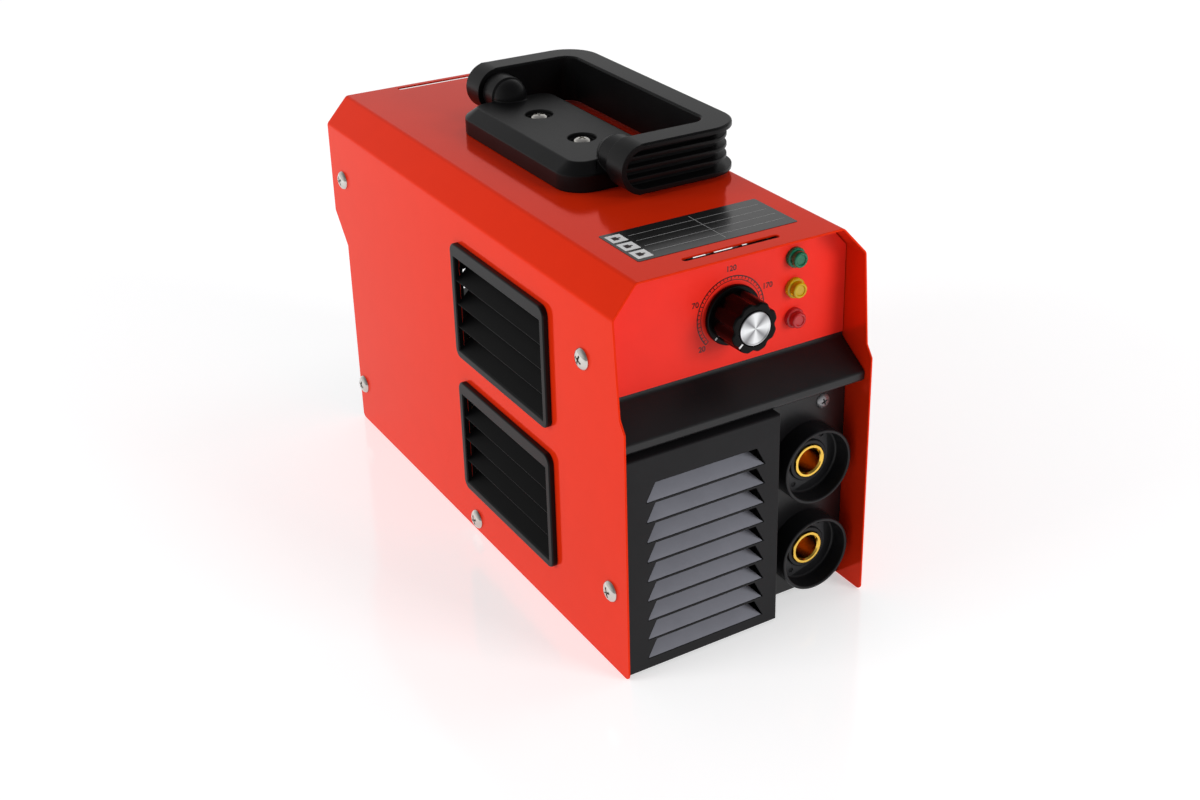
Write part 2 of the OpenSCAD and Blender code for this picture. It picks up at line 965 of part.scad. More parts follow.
module handle_grip() {
    color("black")
        translate([0, handle_y, hinge_z])
            difference() {
                intersection() {
                    translate([0, 0, -hub_r])
                        linear_extrude(grip_h)
                            grip_plan(0);
                    along_y(-grip_l, grip_l)
                        grip_side(hub_r);
                }
                intersection() {
                    union() {
                        translate([0, 0, -grip_recess_r])
                            linear_extrude(2 * grip_recess_r)
                                difference() {
                                    grip_plan(-cut);
                                    grip_plan(grip_recess_d);
                                }
                        for (i = [0:grooves - 1])
                            translate([0, 0, -grip_recess_r + i * groove_pitch])
                                linear_extrude(groove_h)
                                    difference() {
                                        grip_plan(-cut);
                                        grip_plan(groove_d);
                                    }
                    }
                    along_y(-grip_l, grip_l)
                        grip_side(grip_recess_r);
                }
                both_ends()
                    rod_y(0, 0, leg_in_y - cut, leg_in_y + pin_reach + fit_gap, pin_r + running_gap, 32);
            }
}

// Fluted knob with a skirt; a ridge between two flutes points at the rest angle
module knob() {
    color("black")
        translate([knob_x, 0, knob_z])
            difference() {
                union() {
                    rod_y(0, 0, skirt_front_y, skirt_rear_y, knob_skirt_r, 64);
                    difference() {
                        rod_y(0, 0, knob_front_y + knob_proud, skirt_front_y + knob_root, knob_body_r, 64);
                        for (i = [0:flutes - 1])
                            rotate([0, -knob_rest_angle - (i + 0.5) * 360 / flutes, 0])
                                rod_y(knob_body_r + flute_out, 0, knob_front_y - cut,
                                    skirt_front_y - knob_root, flute_r, 32);
                    }
                }
                rod_y(0, 0, knob_front_y - cut, knob_front_y + knob_cap_t, knob_cap_r + hole_gap);
                rod_y(0, 0, shaft_end_y, panel_y, shaft_r);
                rod_y(0, 0, skirt_front_y - knob_root, panel_y, knob_recess_r);
            }
}

module knob_cap() {
    color("silver")
        rod_y(knob_x, knob_z, knob_front_y, knob_front_y + knob_cap_t, knob_cap_r);
}

module knob_shaft() {
    color("silver")
        rod_y(knob_x, knob_z, shaft_end_y + shaft_end_gap, panel_y + shaft_tail, shaft_r);
}

// Body, terminals and threaded bushing of the potentiometer behind the panel
module potentiometer() {
    color("silver")
        translate([knob_x, panel_y, knob_z])
            difference() {
                union() {
                    rod_y(0, 0, plate_t + hole_gap, pot_back, pot_r);
                    rod_y(0, 0, -bushing_l, bushing_l, bushing_r);
                    box(-terminals[0], terminals[0], terminals[1], terminals[2], terminals[3], terminals[4]);
                }
                rod_y(0, 0, -bushing_l - cut, shaft_tail + knob_root, shaft_r + running_gap);
            }
}

module potentiometer_nut() {
    color("silver")
        difference() {
            rod_y(knob_x, knob_z, overlay_y - bushing_nut_h, overlay_y, bushing_nut_r, 6);
            rod_y(knob_x, knob_z, overlay_y - bushing_nut_h - cut, overlay_y + cut, bushing_r);
        }
}

// Panel lamp: flange, round lens and a stem through the panel
module lamp(i) {
    translate([lamp_x, panel_y, lamp_z + i * lamp_pitch]) {
        rod_y(0, 0, -lamp_flange_t, -overlay_t, lamp_flange_r);
        rod_y(0, 0, -lamp_proud, -overlay_t, lamp_lens_r);
        rod_y(0, 0, -lamp_flange_t, lamp_stem_l, lamp_stem_r);
    }
}

module lamp_green() {
    color("green")
        lamp(2);
}

module lamp_yellow() {
    color("gold")
        lamp(1);
}

module lamp_red() {
    color("darkred")
        lamp(0);
}

module lamp_board() {
    y = panel_y + lamp_stem_l;
    color("darkgreen")
        difference() {
            box(lamp_x - lamp_board_margin, lamp_x + lamp_board_margin, y, y + lamp_board_t,
                lamp_z - lamp_board_margin, lamp_z + 2 * lamp_pitch + lamp_board_margin);
            for (s = [-1, 1])
                rod_y(lamp_x + lamp_board_holes.x, lamp_z + lamp_pitch + s * lamp_board_holes.y,
                    y - cut, y + lamp_board_t + cut, lamp_board_hole_r, 24);
        }
}

// Round plug shroud on the socket plate, with a raised boss round the brass insert
module socket_shroud(i) {
    color("black")
        translate([socket_x, 0, socket_z + i * socket_pitch])
            difference() {
                union() {
                    rod_y(0, 0, shroud_front_y, plate_y, shroud_r, 64);
                    rod_y(0, 0, plate_y - shroud_floor_t, boss_end_y, boss_r, 48);
                }
                difference() {
                    rod_y(0, 0, shroud_front_y - cut, plate_y - shroud_floor_t, shroud_r - shroud_wall, 64);
                    rod_y(0, 0, boss_front_y, plate_y, boss_r + 2 * hole_gap, 48);
                }
                rod_y(0, 0, shroud_front_y - cut, boss_end_y + cut, insert_r, 48);
                at_flange_screws()
                    rod_y(0, 0, plate_y - shroud_floor_t - cut, plate_y + cut, flange_hole_r, 24);
            }
}

module socket_shroud_upper() {
    socket_shroud(1);
}

module socket_shroud_lower() {
    socket_shroud(0);
}

// Brass insert with the plug bore open to the front and a threaded tail
module socket_insert(i) {
    color("gold")
        translate([socket_x, 0, socket_z + i * socket_pitch])
            difference() {
                union() {
                    rod_y(0, 0, insert_front_y, insert_back_y, insert_r, 48);
                    rod_y(0, 0, bore_end_y + cut, insert_end_y, insert_tail_r);
                }
                rod_y(0, 0, insert_front_y - cut, bore_end_y, socket_bore_r, 48);
            }
}

module socket_insert_upper() {
    socket_insert(1);
}

module socket_insert_lower() {
    socket_insert(0);
}

module socket_nuts() {
    y = insert_back_y + busbar_t;
    color("gold")
        at_sockets()
            difference() {
                rod_y(0, 0, y, y + socket_nut_h, socket_nut_r, 6);
                rod_y(0, 0, y - cut, y + socket_nut_h + cut, insert_tail_r);
            }
}

// Flat copper bar on a socket's threaded tail, with its lug reaching to x0
module busbar_plate(i, x0, z0) {
    z = socket_z + i * socket_pitch;
    y = insert_back_y;
    difference() {
        box(x0, socket_x + busbar_reach_x, y, y + busbar_t, z0, z + busbar_reach_z);
        rod_y(socket_x, z, y - cut, y + busbar_t + cut, insert_tail_r);
    }
}

module busbar_positive() {
    z = socket_z + socket_pitch;
    x = sink_right_x - sink_base_t;
    color("chocolate") {
        busbar_plate(1, x, z - busbar_reach_z);
        box(x, sink_right_x, insert_back_y, sink_y0, z - busbar_reach_z, z + busbar_reach_z);
    }
}

module busbar_negative() {
    color("chocolate") {
        busbar_plate(0, socket_x - busbar_reach_x, board_top);
        box(socket_x - busbar_reach_x, socket_x + busbar_reach_x, insert_back_y,
            insert_back_y + busbar_t + busbar_tab, board_top, board_top + busbar_foot_t);
    }
}

module fan_frame() {
    y0 = fan_front_y;
    y1 = y0 + fan_t;
    color("dimgray")
        difference() {
            union() {
                difference() {
                    along_y(y0, y1)
                        translate([0, fan_z])
                            rounded_rect(fan_size, fan_size, fan_corner_r);
                    rod_y(0, fan_z, y0 - cut, y1 + cut, fan_bore_r, 64);
                }
                rod_y(0, fan_z, y0, y0 + fan_plate_t, fan_boss_r);
                for (a = [45:90:315])
                    translate([0, y0 + fan_arm_in, fan_z])
                        rotate([0, a, 0])
                            translate([-fan_arm_w / 2, 0, fan_arm_r])
                                cube([fan_arm_w, fan_arm_t, fan_size / 2 - fan_arm_r]);
            }
            rod_y(0, fan_z, y0 + fan_seat_l, y1, fan_shaft_r + running_gap, 32);
            at_fan_corners()
                rod_y(0, 0, y0 - cut, y1 + cut, fan_hole_r, 24);
        }
}

module fan_rotor() {
    y0 = fan_front_y + fan_hub_front;
    y1 = fan_front_y + fan_t - fan_hub_back;
    color("dimgray") {
        rod_y(0, fan_z, y0, y1, fan_hub_r, 48);
        rod_y(0, fan_z, y0 - fan_shaft_l, y1, fan_shaft_r, 32);
        for (i = [0:fan_blades - 1])
            translate([0, (y0 + y1) / 2, fan_z])
                rotate([0, i * 360 / fan_blades, 0])
                    translate([0, 0, fan_hub_r - fan_blade_root])
                        rotate([0, 0, fan_blade_twist])
                            translate([-fan_blade_t / 2, -fan_blade_w / 2, 0])
                                cube([fan_blade_t, fan_blade_w, fan_blade_l]);
    }
}

// Wire finger guard outside the rear panel
module fan_guard() {
    color("silver") {
        for (r = guard_rings)
            translate([0, guard_ring_y, fan_z])
                rotate([90, 0, 0])
                    rotate_extrude($fn = 64)
                        translate([r, 0])
                            circle(guard_wire, $fn = 16);
        for (a = [45:90:315])
            translate([0, guard_spoke_y, fan_z])
                rotate([0, a, 0])
                    cylinder(h = fan_hole_pitch / sqrt(2) - fan_head_r - hole_gap, r = guard_wire, $fn = 16);
        at_fan_corners()
            difference() {
                rod_y(0, 0, guard_ear_y, guard_ear_y + guard_ear_t, fan_head_r + guard_ear_w, 24);
                rod_y(0, 0, guard_ear_y - cut, guard_ear_y + guard_ear_t + cut, fan_hole_r, 24);
            }
    }
}

module fan_screws() {
    color("silver")
        at_fan_corners()
            translate([0, guard_ear_y + guard_ear_t, 0])
                rotate([-90, 0, 0])
                    dome_screw(fan_head_r, fan_head_h, screw_r, fan_screw_l);
}

module power_switch_body() {
    color("black")
        translate([switch_x, rear_face_y, switch_z])
            difference() {
                union() {
                    box(-switch_bezel.x, switch_bezel.x, 0, switch_bezel.y, -switch_bezel.z, switch_bezel.z);
                    box(-switch_in.x, switch_in.x, -switch_in.y, switch_bezel.y, -switch_in.z, switch_in.z);
                }
                box(-switch_well.x, switch_well.x, -switch_well.y, switch_bezel.y + cut,
                    -switch_well.z, switch_well.z);
                rod_x(-rocker_back, 0, -rocker_pin_reach - switch_gap, rocker_pin_reach + switch_gap,
                    rocker_pin_r + running_gap, 32);
            }
}

// Rocker key, tilted to its off position about a pin along X
module power_switch_rocker() {
    color("red")
        translate([switch_x, rear_face_y - rocker_back, switch_z])
            rotate([rocker_tilt, 0, 0]) {
                rotate([90, 0, 90])
                    linear_extrude(rocker_w, center = true)
                        polygon(concat([[rocker_rear.x, -rocker_rear.y], [rocker_front.x, -rocker_front.y]],
                            arc(rocker_dish_y, 0, rocker_dish_r, 180 + rocker_sweep, 180 - rocker_sweep, 8),
                            [[rocker_front.x, rocker_front.y], [rocker_rear.x, rocker_rear.y]]));
                rod_x(0, 0, -rocker_pin_reach, rocker_pin_reach, rocker_pin_r, 32);
            }
}

// Threaded cable gland with its clamping cap outside the panel
module cable_gland() {
    color("black")
        translate([gland_x, rear_face_y, gland_z])
            difference() {
                union() {
                    rod_y(0, 0, -gland_in, gland_hex_t, gland_r, 48);
                    rod_y(0, 0, 0, gland_hex_t, gland_nut_r, 6);
                    rod_y(0, 0, gland_hex_t, gland_cap_end, gland_cap_r, 48);
                    rod_y(0, 0, gland_hex_t, gland_end, gland_mouth_r, 48);
                }
                rod_y(0, 0, -gland_in - cut, gland_end + cut, gland_bore_r, 48);
            }
}

module gland_nut() {
    color("black")
        translate([gland_x, rear_face_y - plate_t, gland_z])
            difference() {
                rod_y(0, 0, -gland_nut_t, 0, gland_nut_r, 6);
                rod_y(0, 0, -gland_nut_t - cut, cut, gland_r, 48);
            }
}

// Threaded stud clamped between two nuts
module earth_stud() {
    color("gold")
        translate([earth_x, rear_face_y, earth_z]) {
            rod_y(0, 0, -earth_in, earth_out, earth_r, 32);
            for (y = [0, -plate_t - earth_nut_h])
                difference() {
                    rod_y(0, 0, y, y + earth_nut_h, earth_nut_r, 6);
                    rod_y(0, 0, y - cut, y + earth_nut_h + cut, earth_r - hole_gap, 32);
                }
        }
}

module main_board() {
    color("darkgreen")
        difference() {
            box(-board_x, board_x, board_front_y, board_back_y, board_z, board_top);
            at_board_corners()
                translate([0, 0, board_z - cut])
                    cylinder(h = board_t + 2 * cut, r = small_screw_r + 2 * hole_gap, $fn = 24);
        }
}

module board_standoffs() {
    color("silver")
        at_board_corners()
            translate([0, 0, plate_t])
                cylinder(h = board_z - plate_t, r = standoff_r, $fn = 6);
}

// Extruded heat sink standing on the board, with fins on one side of its base plate
module heatsink(x0, side) {
    color("lightgray") {
        box(min(x0, x0 - side * sink_base_t), max(x0, x0 - side * sink_base_t),
            sink_y0, sink_y1, board_top, board_top + sink_h);
        for (i = [0:sink_fins - 1])
            translate([0, 0, board_top + sink_first_z + i * sink_fin_pitch])
                box(min(x0, x0 + side * sink_fin_h), max(x0, x0 + side * sink_fin_h),
                    sink_y0, sink_y1, 0, sink_fin_t);
    }
}

module heatsink_left() {
    heatsink(sink_left_x, -1);
}

module heatsink_right() {
    heatsink(sink_right_x, 1);
}

// Row of flat power packages on a heat sink's face, with three leads each down to the board
module package_row(x0) {
    for (i = [0:packages - 1])
        translate([x0, packages_y + i * package_pitch, board_top]) {
            translate([0, 0, lead_h])
                cube([package_t, package_w, package_h]);
            for (j = [0:2])
                translate([(package_t - lead_t) / 2, lead_first + j * lead_pitch, 0])
                    cube([lead_t, lead_w, lead_h + hole_gap]);
        }
}

module power_transistors() {
    color("black")
        package_row(sink_left_x + sink_base_t);
}

module output_diodes() {
    color("black")
        package_row(sink_right_x - sink_base_t - package_t);
}

// Ferrite core: a middle leg, two outer legs and two yokes
module transformer_core() {
    color("dimgray")
        translate([transformer_x, magnetics_y, board_top])
            difference() {
                box(-core_half.x, core_half.x, -core_half.y, core_half.y, 0, core_h);
                for (s = [0, 1])
                    mirror([s, 0, 0])
                        box(core_window[0], core_window[1], -core_half.y - cut, core_half.y + cut,
                            core_yoke, core_h - core_yoke);
            }
}

module transformer_winding() {
    color("goldenrod")
        translate([transformer_x, magnetics_y, board_top])
            difference() {
                box(-coil_half.x, coil_half.x, -coil_half.y, coil_half.y, coil_low, coil_top);
                box(-core_window[0] - fit_gap, core_window[0] + fit_gap, -core_half.y - fit_gap,
                    core_half.y + fit_gap, coil_low - cut, coil_top + cut);
            }
}

// Toroid of the output choke, standing on its winding
module choke_core() {
    color("dimgray")
        translate([choke_x, magnetics_y, choke_z])
            rotate([90, 0, 0])
                difference() {
                    cylinder(h = choke_w, r = choke_r, center = true, $fn = 64);
                    cylinder(h = choke_w + cut, r = choke_hole_r, center = true, $fn = 64);
                }
}

// Turns of thick wire round the toroid, as separate rings
module choke_winding() {
    l = choke_r - choke_hole_r + 2 * wire_gap;
    w = choke_w + 2 * wire_gap;
    color("chocolate")
        for (i = [0:choke_turns - 1])
            translate([choke_x, magnetics_y, choke_z])
                rotate([0, 90 + i * 360 / choke_turns, 0])
                    translate([(choke_r + choke_hole_r) / 2, 0, 0])
                        difference() {
                            cube([l + 2 * wire_across, w + 2 * wire_across, wire_t], center = true);
                            cube([l, w, wire_t + cut], center = true);
                        }
}

module bulk_capacitors() {
    color("navy")
        for (i = [0:2])
            translate([capacitors_x, packages_y + i * capacitor_pitch, board_top])
                cylinder(h = capacitor_h, r = capacitor_r, $fn = 48);
}

module bridge_rectifier() {
    color("black")
        difference() {
            box(rectifier[0], rectifier[1], rectifier[2], rectifier[3], board_top, board_top + rectifier_h);
            translate([(rectifier[0] + rectifier[1]) / 2, (rectifier[2] + rectifier[3]) / 2, board_z])
                cylinder(h = rectifier_h + 2 * cut, r = rectifier_hole_r, $fn = 24);
        }
}

// Driver board standing upright on the main board
module control_board() {
    color("darkgreen")
        box(control_board_x[0], control_board_x[1], control_board_y, control_board_y + board_t,
            board_top, board_top + control_board_h);
}

module soft_start_relay() {
    color("blue")
        box(relay[0], relay[1], relay[2], relay[3], board_top, board_top + relay_h);
}

cover();
base_tray();
front_plate();
panel_overlay();
louvre_grille();
rear_panel();
vent_left_upper();
vent_left_lower();
vent_right_upper();
vent_right_lower();
rating_label();
side_screws();
front_plate_screw();
rear_panel_screws();
handle_base();
handle_base_screws();
handle_nuts();
handle_pivot_pins();
handle_grip();
knob();
knob_cap();
knob_shaft();
potentiometer();
potentiometer_nut();
lamp_green();
lamp_yellow();
lamp_red();
lamp_board();
socket_shroud_upper();
socket_shroud_lower();
socket_insert_upper();
socket_insert_lower();
socket_nuts();
busbar_positive();
busbar_negative();
fan_frame();
fan_rotor();
fan_guard();
fan_screws();
power_switch_body();
power_switch_rocker();
cable_gland();
gland_nut();
earth_stud();
main_board();
board_standoffs();
heatsink_left();
heatsink_right();
power_transistors();
output_diodes();
transformer_core();
transformer_winding();
choke_core();
choke_winding();
bulk_capacitors();
bridge_rectifier();
control_board();
soft_start_relay();
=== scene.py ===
"""Looks of the stick welding inverter: detailed pieces, materials, floor, lights and camera."""

import math

import bmesh
import bpy
from mathutils import Matrix, Vector


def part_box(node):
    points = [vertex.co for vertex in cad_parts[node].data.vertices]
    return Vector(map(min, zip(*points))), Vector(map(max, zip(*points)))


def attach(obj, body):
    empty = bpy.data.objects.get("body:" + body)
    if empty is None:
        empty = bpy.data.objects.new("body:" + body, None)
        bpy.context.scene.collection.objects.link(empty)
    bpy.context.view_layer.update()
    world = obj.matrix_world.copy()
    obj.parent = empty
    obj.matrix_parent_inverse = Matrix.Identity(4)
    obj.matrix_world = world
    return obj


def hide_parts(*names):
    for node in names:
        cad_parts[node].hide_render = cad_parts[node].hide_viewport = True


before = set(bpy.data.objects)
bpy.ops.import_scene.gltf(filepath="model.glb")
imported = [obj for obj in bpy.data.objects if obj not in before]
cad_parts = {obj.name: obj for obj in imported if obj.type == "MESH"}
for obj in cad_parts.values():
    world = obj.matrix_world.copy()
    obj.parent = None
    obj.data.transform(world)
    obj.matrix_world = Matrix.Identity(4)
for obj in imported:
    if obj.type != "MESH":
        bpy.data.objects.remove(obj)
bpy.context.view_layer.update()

MM = 0.001
TAU = 2 * math.pi
MERGE = 0.002 * MM       # vertices of a CAD mesh nearer than this are one
BROAD = 1e-4             # area in m2 over which a louvre's face counts as broad
INK = (-0.02, 0.03)      # a printed mark, from just under its surface to just over it (mm)
INK_OVER = (0.02, 0.05)  # a mark printed over another one

# Directions that a piece can face: the columns are its own x, y and outward axes
FRONT = Matrix(((1, 0, 0), (0, 0, -1), (0, 1, 0))).to_4x4()
REAR = Matrix(((-1, 0, 0), (0, 0, 1), (0, 1, 0))).to_4x4()
LEFT = Matrix(((0, 0, -1), (-1, 0, 0), (0, 1, 0))).to_4x4()
RIGHT = Matrix(((0, 0, 1), (1, 0, 0), (0, 1, 0))).to_4x4()
UP = Matrix.Identity(4)


# ---------------------------------------------------------------- materials

# Each look: colour, colour spread, roughness, roughness spread, grain size (mm), grain depth (mm)
# and the values of other sockets
LOOKS = {
    "cover_red": ((0.78, 0.028, 0.004), 0.012, 0.11, 0.02, 3.0, 0.002,
                  {"Metallic": 0.26, "Specular IOR Level": 0.03}),
    "panel_red": ((0.86, 0.026, 0.014), 0.02, 0.42, 0.06, 0.45, 0.02, {"Specular IOR Level": 0.2}),
    "black_steel": ((0.0075, 0.0072, 0.0080), 0.10, 0.34, 0.05, 0.5, 0.006, {"Specular IOR Level": 0.42}),
    "grille_steel": ((0.012, 0.0115, 0.0125), 0.08, 0.40, 0.05, 0.5, 0.006, {"Specular IOR Level": 0.14}),
    # Painted highlight: the louvres' upper faces are the sheet's black paint, painted light grey for the light
    # they catch from above
    "flap_steel_painted_light": ((0.25, 0.253, 0.29), 0.05, 0.42, 0.05, 0.5, 0.006, {"Specular IOR Level": 0.42}),
    "black_plastic": ((0.0042, 0.0042, 0.0044), 0.12, 0.36, 0.06, 0.6, 0.010, {"Specular IOR Level": 0.14}),
    "socket_grey": ((0.030, 0.030, 0.032), 0.10, 0.40, 0.06, 0.6, 0.010, {"Specular IOR Level": 0.26}),
    "cup_black": ((0.010, 0.010, 0.011), 0.10, 0.36, 0.06, 0.6, 0.010, {"Specular IOR Level": 0.26}),
    # Painted shade: the vent blades' slanting faces are the frame's black plastic, painted darker for the shade
    # inside the vents
    "blade_painted_shade": ((0.0012, 0.0012, 0.0013), 0.12, 0.45, 0.06, 0.6, 0.010, {"Specular IOR Level": 0.08}),
    "knob_black": ((0.0020, 0.0020, 0.0020), 0.10, 0.24, 0.03, 1.5, 0.001, {"Specular IOR Level": 0.10}),
    "cap_silver": ((0.62, 0.63, 0.64), 0.02, 0.30, 0.03, 0.5, 0.0005, {"Metallic": 1.0}),
    "screw_nickel": ((0.62, 0.60, 0.56), 0.05, 0.16, 0.05, 0.8, 0.002, {"Metallic": 1.0}),
    "screw_dark": ((0.30, 0.30, 0.31), 0.08, 0.38, 0.08, 0.7, 0.003, {"Metallic": 0.8}),
    "steel": ((0.50, 0.50, 0.51), 0.08, 0.28, 0.08, 0.7, 0.003, {"Metallic": 1.0}),
    "brass": ((0.92, 0.58, 0.10), 0.06, 0.18, 0.05, 0.6, 0.002, {"Metallic": 1.0}),
    "lens_green": ((0.00, 0.24, 0.11), 0.05, 0.08, 0.02, 1.0, 0.001, {"Transmission Weight": 0.45}),
    "lens_yellow": ((0.95, 0.62, 0.00), 0.05, 0.08, 0.02, 1.0, 0.001, {"Transmission Weight": 0.45}),
    "lens_red": ((0.78, 0.025, 0.03), 0.05, 0.08, 0.02, 1.0, 0.001, {"Transmission Weight": 0.45}),
    "label_grey": ((0.012, 0.012, 0.012), 0.08, 0.16, 0.03, 0.5, 0.002, {"Specular IOR Level": 0.5}),
    "fan_black": ((0.012, 0.012, 0.013), 0.12, 0.42, 0.06, 0.8, 0.008, {}),
    "rocker_red": ((0.50, 0.015, 0.010), 0.04, 0.18, 0.04, 1.2, 0.002, {}),
    "board_green": ((0.010, 0.10, 0.040), 0.15, 0.28, 0.06, 1.0, 0.008, {}),
    "sink_aluminium": ((0.34, 0.345, 0.355), 0.06, 0.34, 0.06, 0.6, 0.004, {"Metallic": 1.0}),
    "ferrite": ((0.030, 0.030, 0.033), 0.15, 0.58, 0.08, 0.5, 0.012, {}),
    "copper": ((0.70, 0.30, 0.14), 0.10, 0.26, 0.06, 0.8, 0.003, {"Metallic": 1.0}),
    "winding_tape": ((0.60, 0.42, 0.07), 0.10, 0.36, 0.06, 1.2, 0.012, {}),
    "capacitor_blue": ((0.012, 0.030, 0.15), 0.08, 0.24, 0.05, 1.2, 0.003, {}),
    "package_black": ((0.010, 0.010, 0.011), 0.12, 0.40, 0.06, 0.5, 0.005, {}),
    "relay_blue": ((0.03, 0.13, 0.38), 0.06, 0.26, 0.05, 1.0, 0.003, {}),
}
PRINTS = {
    "print_dark": (0.012, 0.002, 0.002),
    "print_light": (0.34, 0.34, 0.34),
    "print_white": (0.72, 0.72, 0.72),
}
PRINT_FINISH = (0.08, 0.45, 0.06, 0.5, 0.002, {})
FLOOR_LOOK = ((0.74, 0.74, 0.745), 0.004, 0.11, 0.01, 40.0, 0.0,
              {"IOR": 1.75, "Emission Color": (1, 1, 1, 1), "Emission Strength": 0.50})
MOTTLE_SIZE = 14.0  # mm
made_materials = {}


def link_noise(tree, coordinates, size_mm, detail):
    """A noise texture whose features measure about size_mm."""
    noise = tree.nodes.new("ShaderNodeTexNoise")
    noise.inputs["Scale"].default_value = 1.0 / (size_mm * MM)
    noise.inputs["Detail"].default_value = detail
    tree.links.new(coordinates.outputs["Object"], noise.inputs["Vector"])
    return noise


def surface(name, colour, spread, rough, rough_spread, grain, depth, extra):
    """A procedural finish: mottled colour and roughness over a fine moulded or sprayed grain."""
    material = bpy.data.materials.new(name)
    material.use_nodes = True
    tree = material.node_tree
    shader = tree.nodes["Principled BSDF"]
    coordinates = tree.nodes.new("ShaderNodeTexCoord")

    mottle = link_noise(tree, coordinates, MOTTLE_SIZE, 3.0)
    ramp = tree.nodes.new("ShaderNodeValToRGB")
    ramp.color_ramp.elements[0].position, ramp.color_ramp.elements[1].position = 0.3, 0.7
    for element, factor in zip(ramp.color_ramp.elements, (1 - spread, 1 + spread)):
        element.color = (*(min(1.0, c * factor) for c in colour), 1)
    tree.links.new(mottle.outputs["Fac"], ramp.inputs["Fac"])
    tree.links.new(ramp.outputs["Color"], shader.inputs["Base Color"])

    fine = link_noise(tree, coordinates, grain, 4.0)
    roughness = tree.nodes.new("ShaderNodeMapRange")
    roughness.inputs["To Min"].default_value = rough - rough_spread
    roughness.inputs["To Max"].default_value = rough + rough_spread
    tree.links.new(fine.outputs["Fac"], roughness.inputs["Value"])
    tree.links.new(roughness.outputs["Result"], shader.inputs["Roughness"])

    bump = tree.nodes.new("ShaderNodeBump")
    bump.inputs["Distance"].default_value = depth * MM
    tree.links.new(fine.outputs["Fac"], bump.inputs["Height"])
    tree.links.new(bump.outputs["Normal"], shader.inputs["Normal"])
    for socket, value in extra.items():
        shader.inputs[socket].default_value = value
    return material


def turn_finish(material):
    """Painted sheen: light and dark sectors in the base colour round the knob's axis, standing in for the
    reflection of a face turned on a lathe.
    """
    tree = material.node_tree
    shader = tree.nodes["Principled BSDF"]
    coordinates = tree.nodes.new("ShaderNodeTexCoord")
    centred = tree.nodes.new("ShaderNodeMapping")
    centred.vector_type = "TEXTURE"
    centred.inputs["Location"].default_value = centre_of("knob_cap")
    centred.inputs["Rotation"].default_value = (math.pi / 2, 0, 0)
    radial = tree.nodes.new("ShaderNodeTexGradient")
    radial.gradient_type = "RADIAL"
    folded = tree.nodes.new("ShaderNodeMath")
    folded.operation = "PINGPONG"
    folded.inputs[1].default_value = 1 / 8  # of a turn, from the lightest line to the darkest
    # the lightest and darkest colours of the painted sheen
    ramp = tree.nodes.new("ShaderNodeValToRGB")
    first, last = ramp.color_ramp.elements
    first.position, last.position = 0.02, 0.115
    first.color, last.color = (0.84, 0.85, 0.86, 1), (0.28, 0.28, 0.29, 1)
    tree.links.new(coordinates.outputs["Object"], centred.inputs["Vector"])
    tree.links.new(centred.outputs["Vector"], radial.inputs["Vector"])
    tree.links.new(radial.outputs["Fac"], folded.inputs[0])
    tree.links.new(folded.outputs["Value"], ramp.inputs["Fac"])
    tree.links.new(ramp.outputs["Color"], shader.inputs["Base Color"])


def finish_of(slot):
    """The material of a look or of a print colour, made once."""
    if slot not in made_materials:
        if slot in PRINTS:
            made_materials[slot] = surface(slot, PRINTS[slot], *PRINT_FINISH)
        else:
            made_materials[slot] = surface(slot, *LOOKS[slot])
            # the cap's base colour is replaced by a painted sheen of light and dark sectors
            if slot == "cap_silver":
                turn_finish(made_materials[slot])
    return made_materials[slot]


# ---------------------------------------------------------------- mesh helpers

def add_piece(name, bm, slot, body="casing", stands_for=(), look=None, smooth=32, fix=True):
    """
    Turns a bmesh into a piece of the object, with its finish and body; the finish is the look's, or the slot's
    when no look is given.
    Edges sharper than smooth (degrees) stay sharp, and fix turns every face outwards first.
    """
    if fix:
        bmesh.ops.recalc_face_normals(bm, faces=bm.faces)
    mesh = bpy.data.meshes.new(name)
    bm.to_mesh(mesh)
    bm.free()
    mesh.materials.clear()
    mesh.materials.append(finish_of(look or slot))
    mesh.polygons.foreach_set("use_smooth", [True] * len(mesh.polygons))
    mesh.polygons.foreach_set("material_index", [0] * len(mesh.polygons))
    mesh.set_sharp_from_angle(angle=math.radians(smooth))
    piece = bpy.data.objects.new(name, mesh)
    bpy.context.scene.collection.objects.link(piece)
    flat = piece.modifiers.new("flat_faces", "WEIGHTED_NORMAL")
    flat.keep_sharp, flat.weight = True, 100
    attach(piece, body)
    if stands_for:
        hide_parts(*stands_for)
    return piece


def cad_shape(node):
    """A clean bmesh of a CAD node, with its flat faces whole again."""
    bm = bmesh.new()
    bm.from_mesh(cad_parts[node].data)
    bmesh.ops.remove_doubles(bm, verts=bm.verts, dist=MERGE)
    bmesh.ops.dissolve_limit(bm, angle_limit=math.radians(0.5), verts=bm.verts, edges=bm.edges)
    return bm


def soften(bm, width, segments=2, angle=30, where=None):
    """Rounds the sharp edges by width (mm), or only those whose middle point passes where."""
    edges = []
    for edge in bm.edges:
        if len(edge.link_faces) != 2 or edge.calc_face_angle(0) < math.radians(angle):
            continue
        middle = (edge.verts[0].co + edge.verts[1].co) / 2
        if where is None or where(middle):
            edges.append(edge)
    bmesh.ops.bevel(bm, geom=edges, offset=width * MM, offset_type="OFFSET", segments=segments,
                    profile=0.5, affect="EDGES", clamp_overlap=False)
    return bm


def refine(node, slot, width=0.2, body="casing", segments=2):
    """Stands for a CAD node of the right shape, with its edges rounded as the real piece's are."""
    return add_piece(node + "_finished", soften(cad_shape(node), width, segments), slot, body, (node,))


def at(facing, x, y, z):
    """The place at a point in metres, facing one of the directions above."""
    return Matrix.Translation((x, y, z)) @ facing


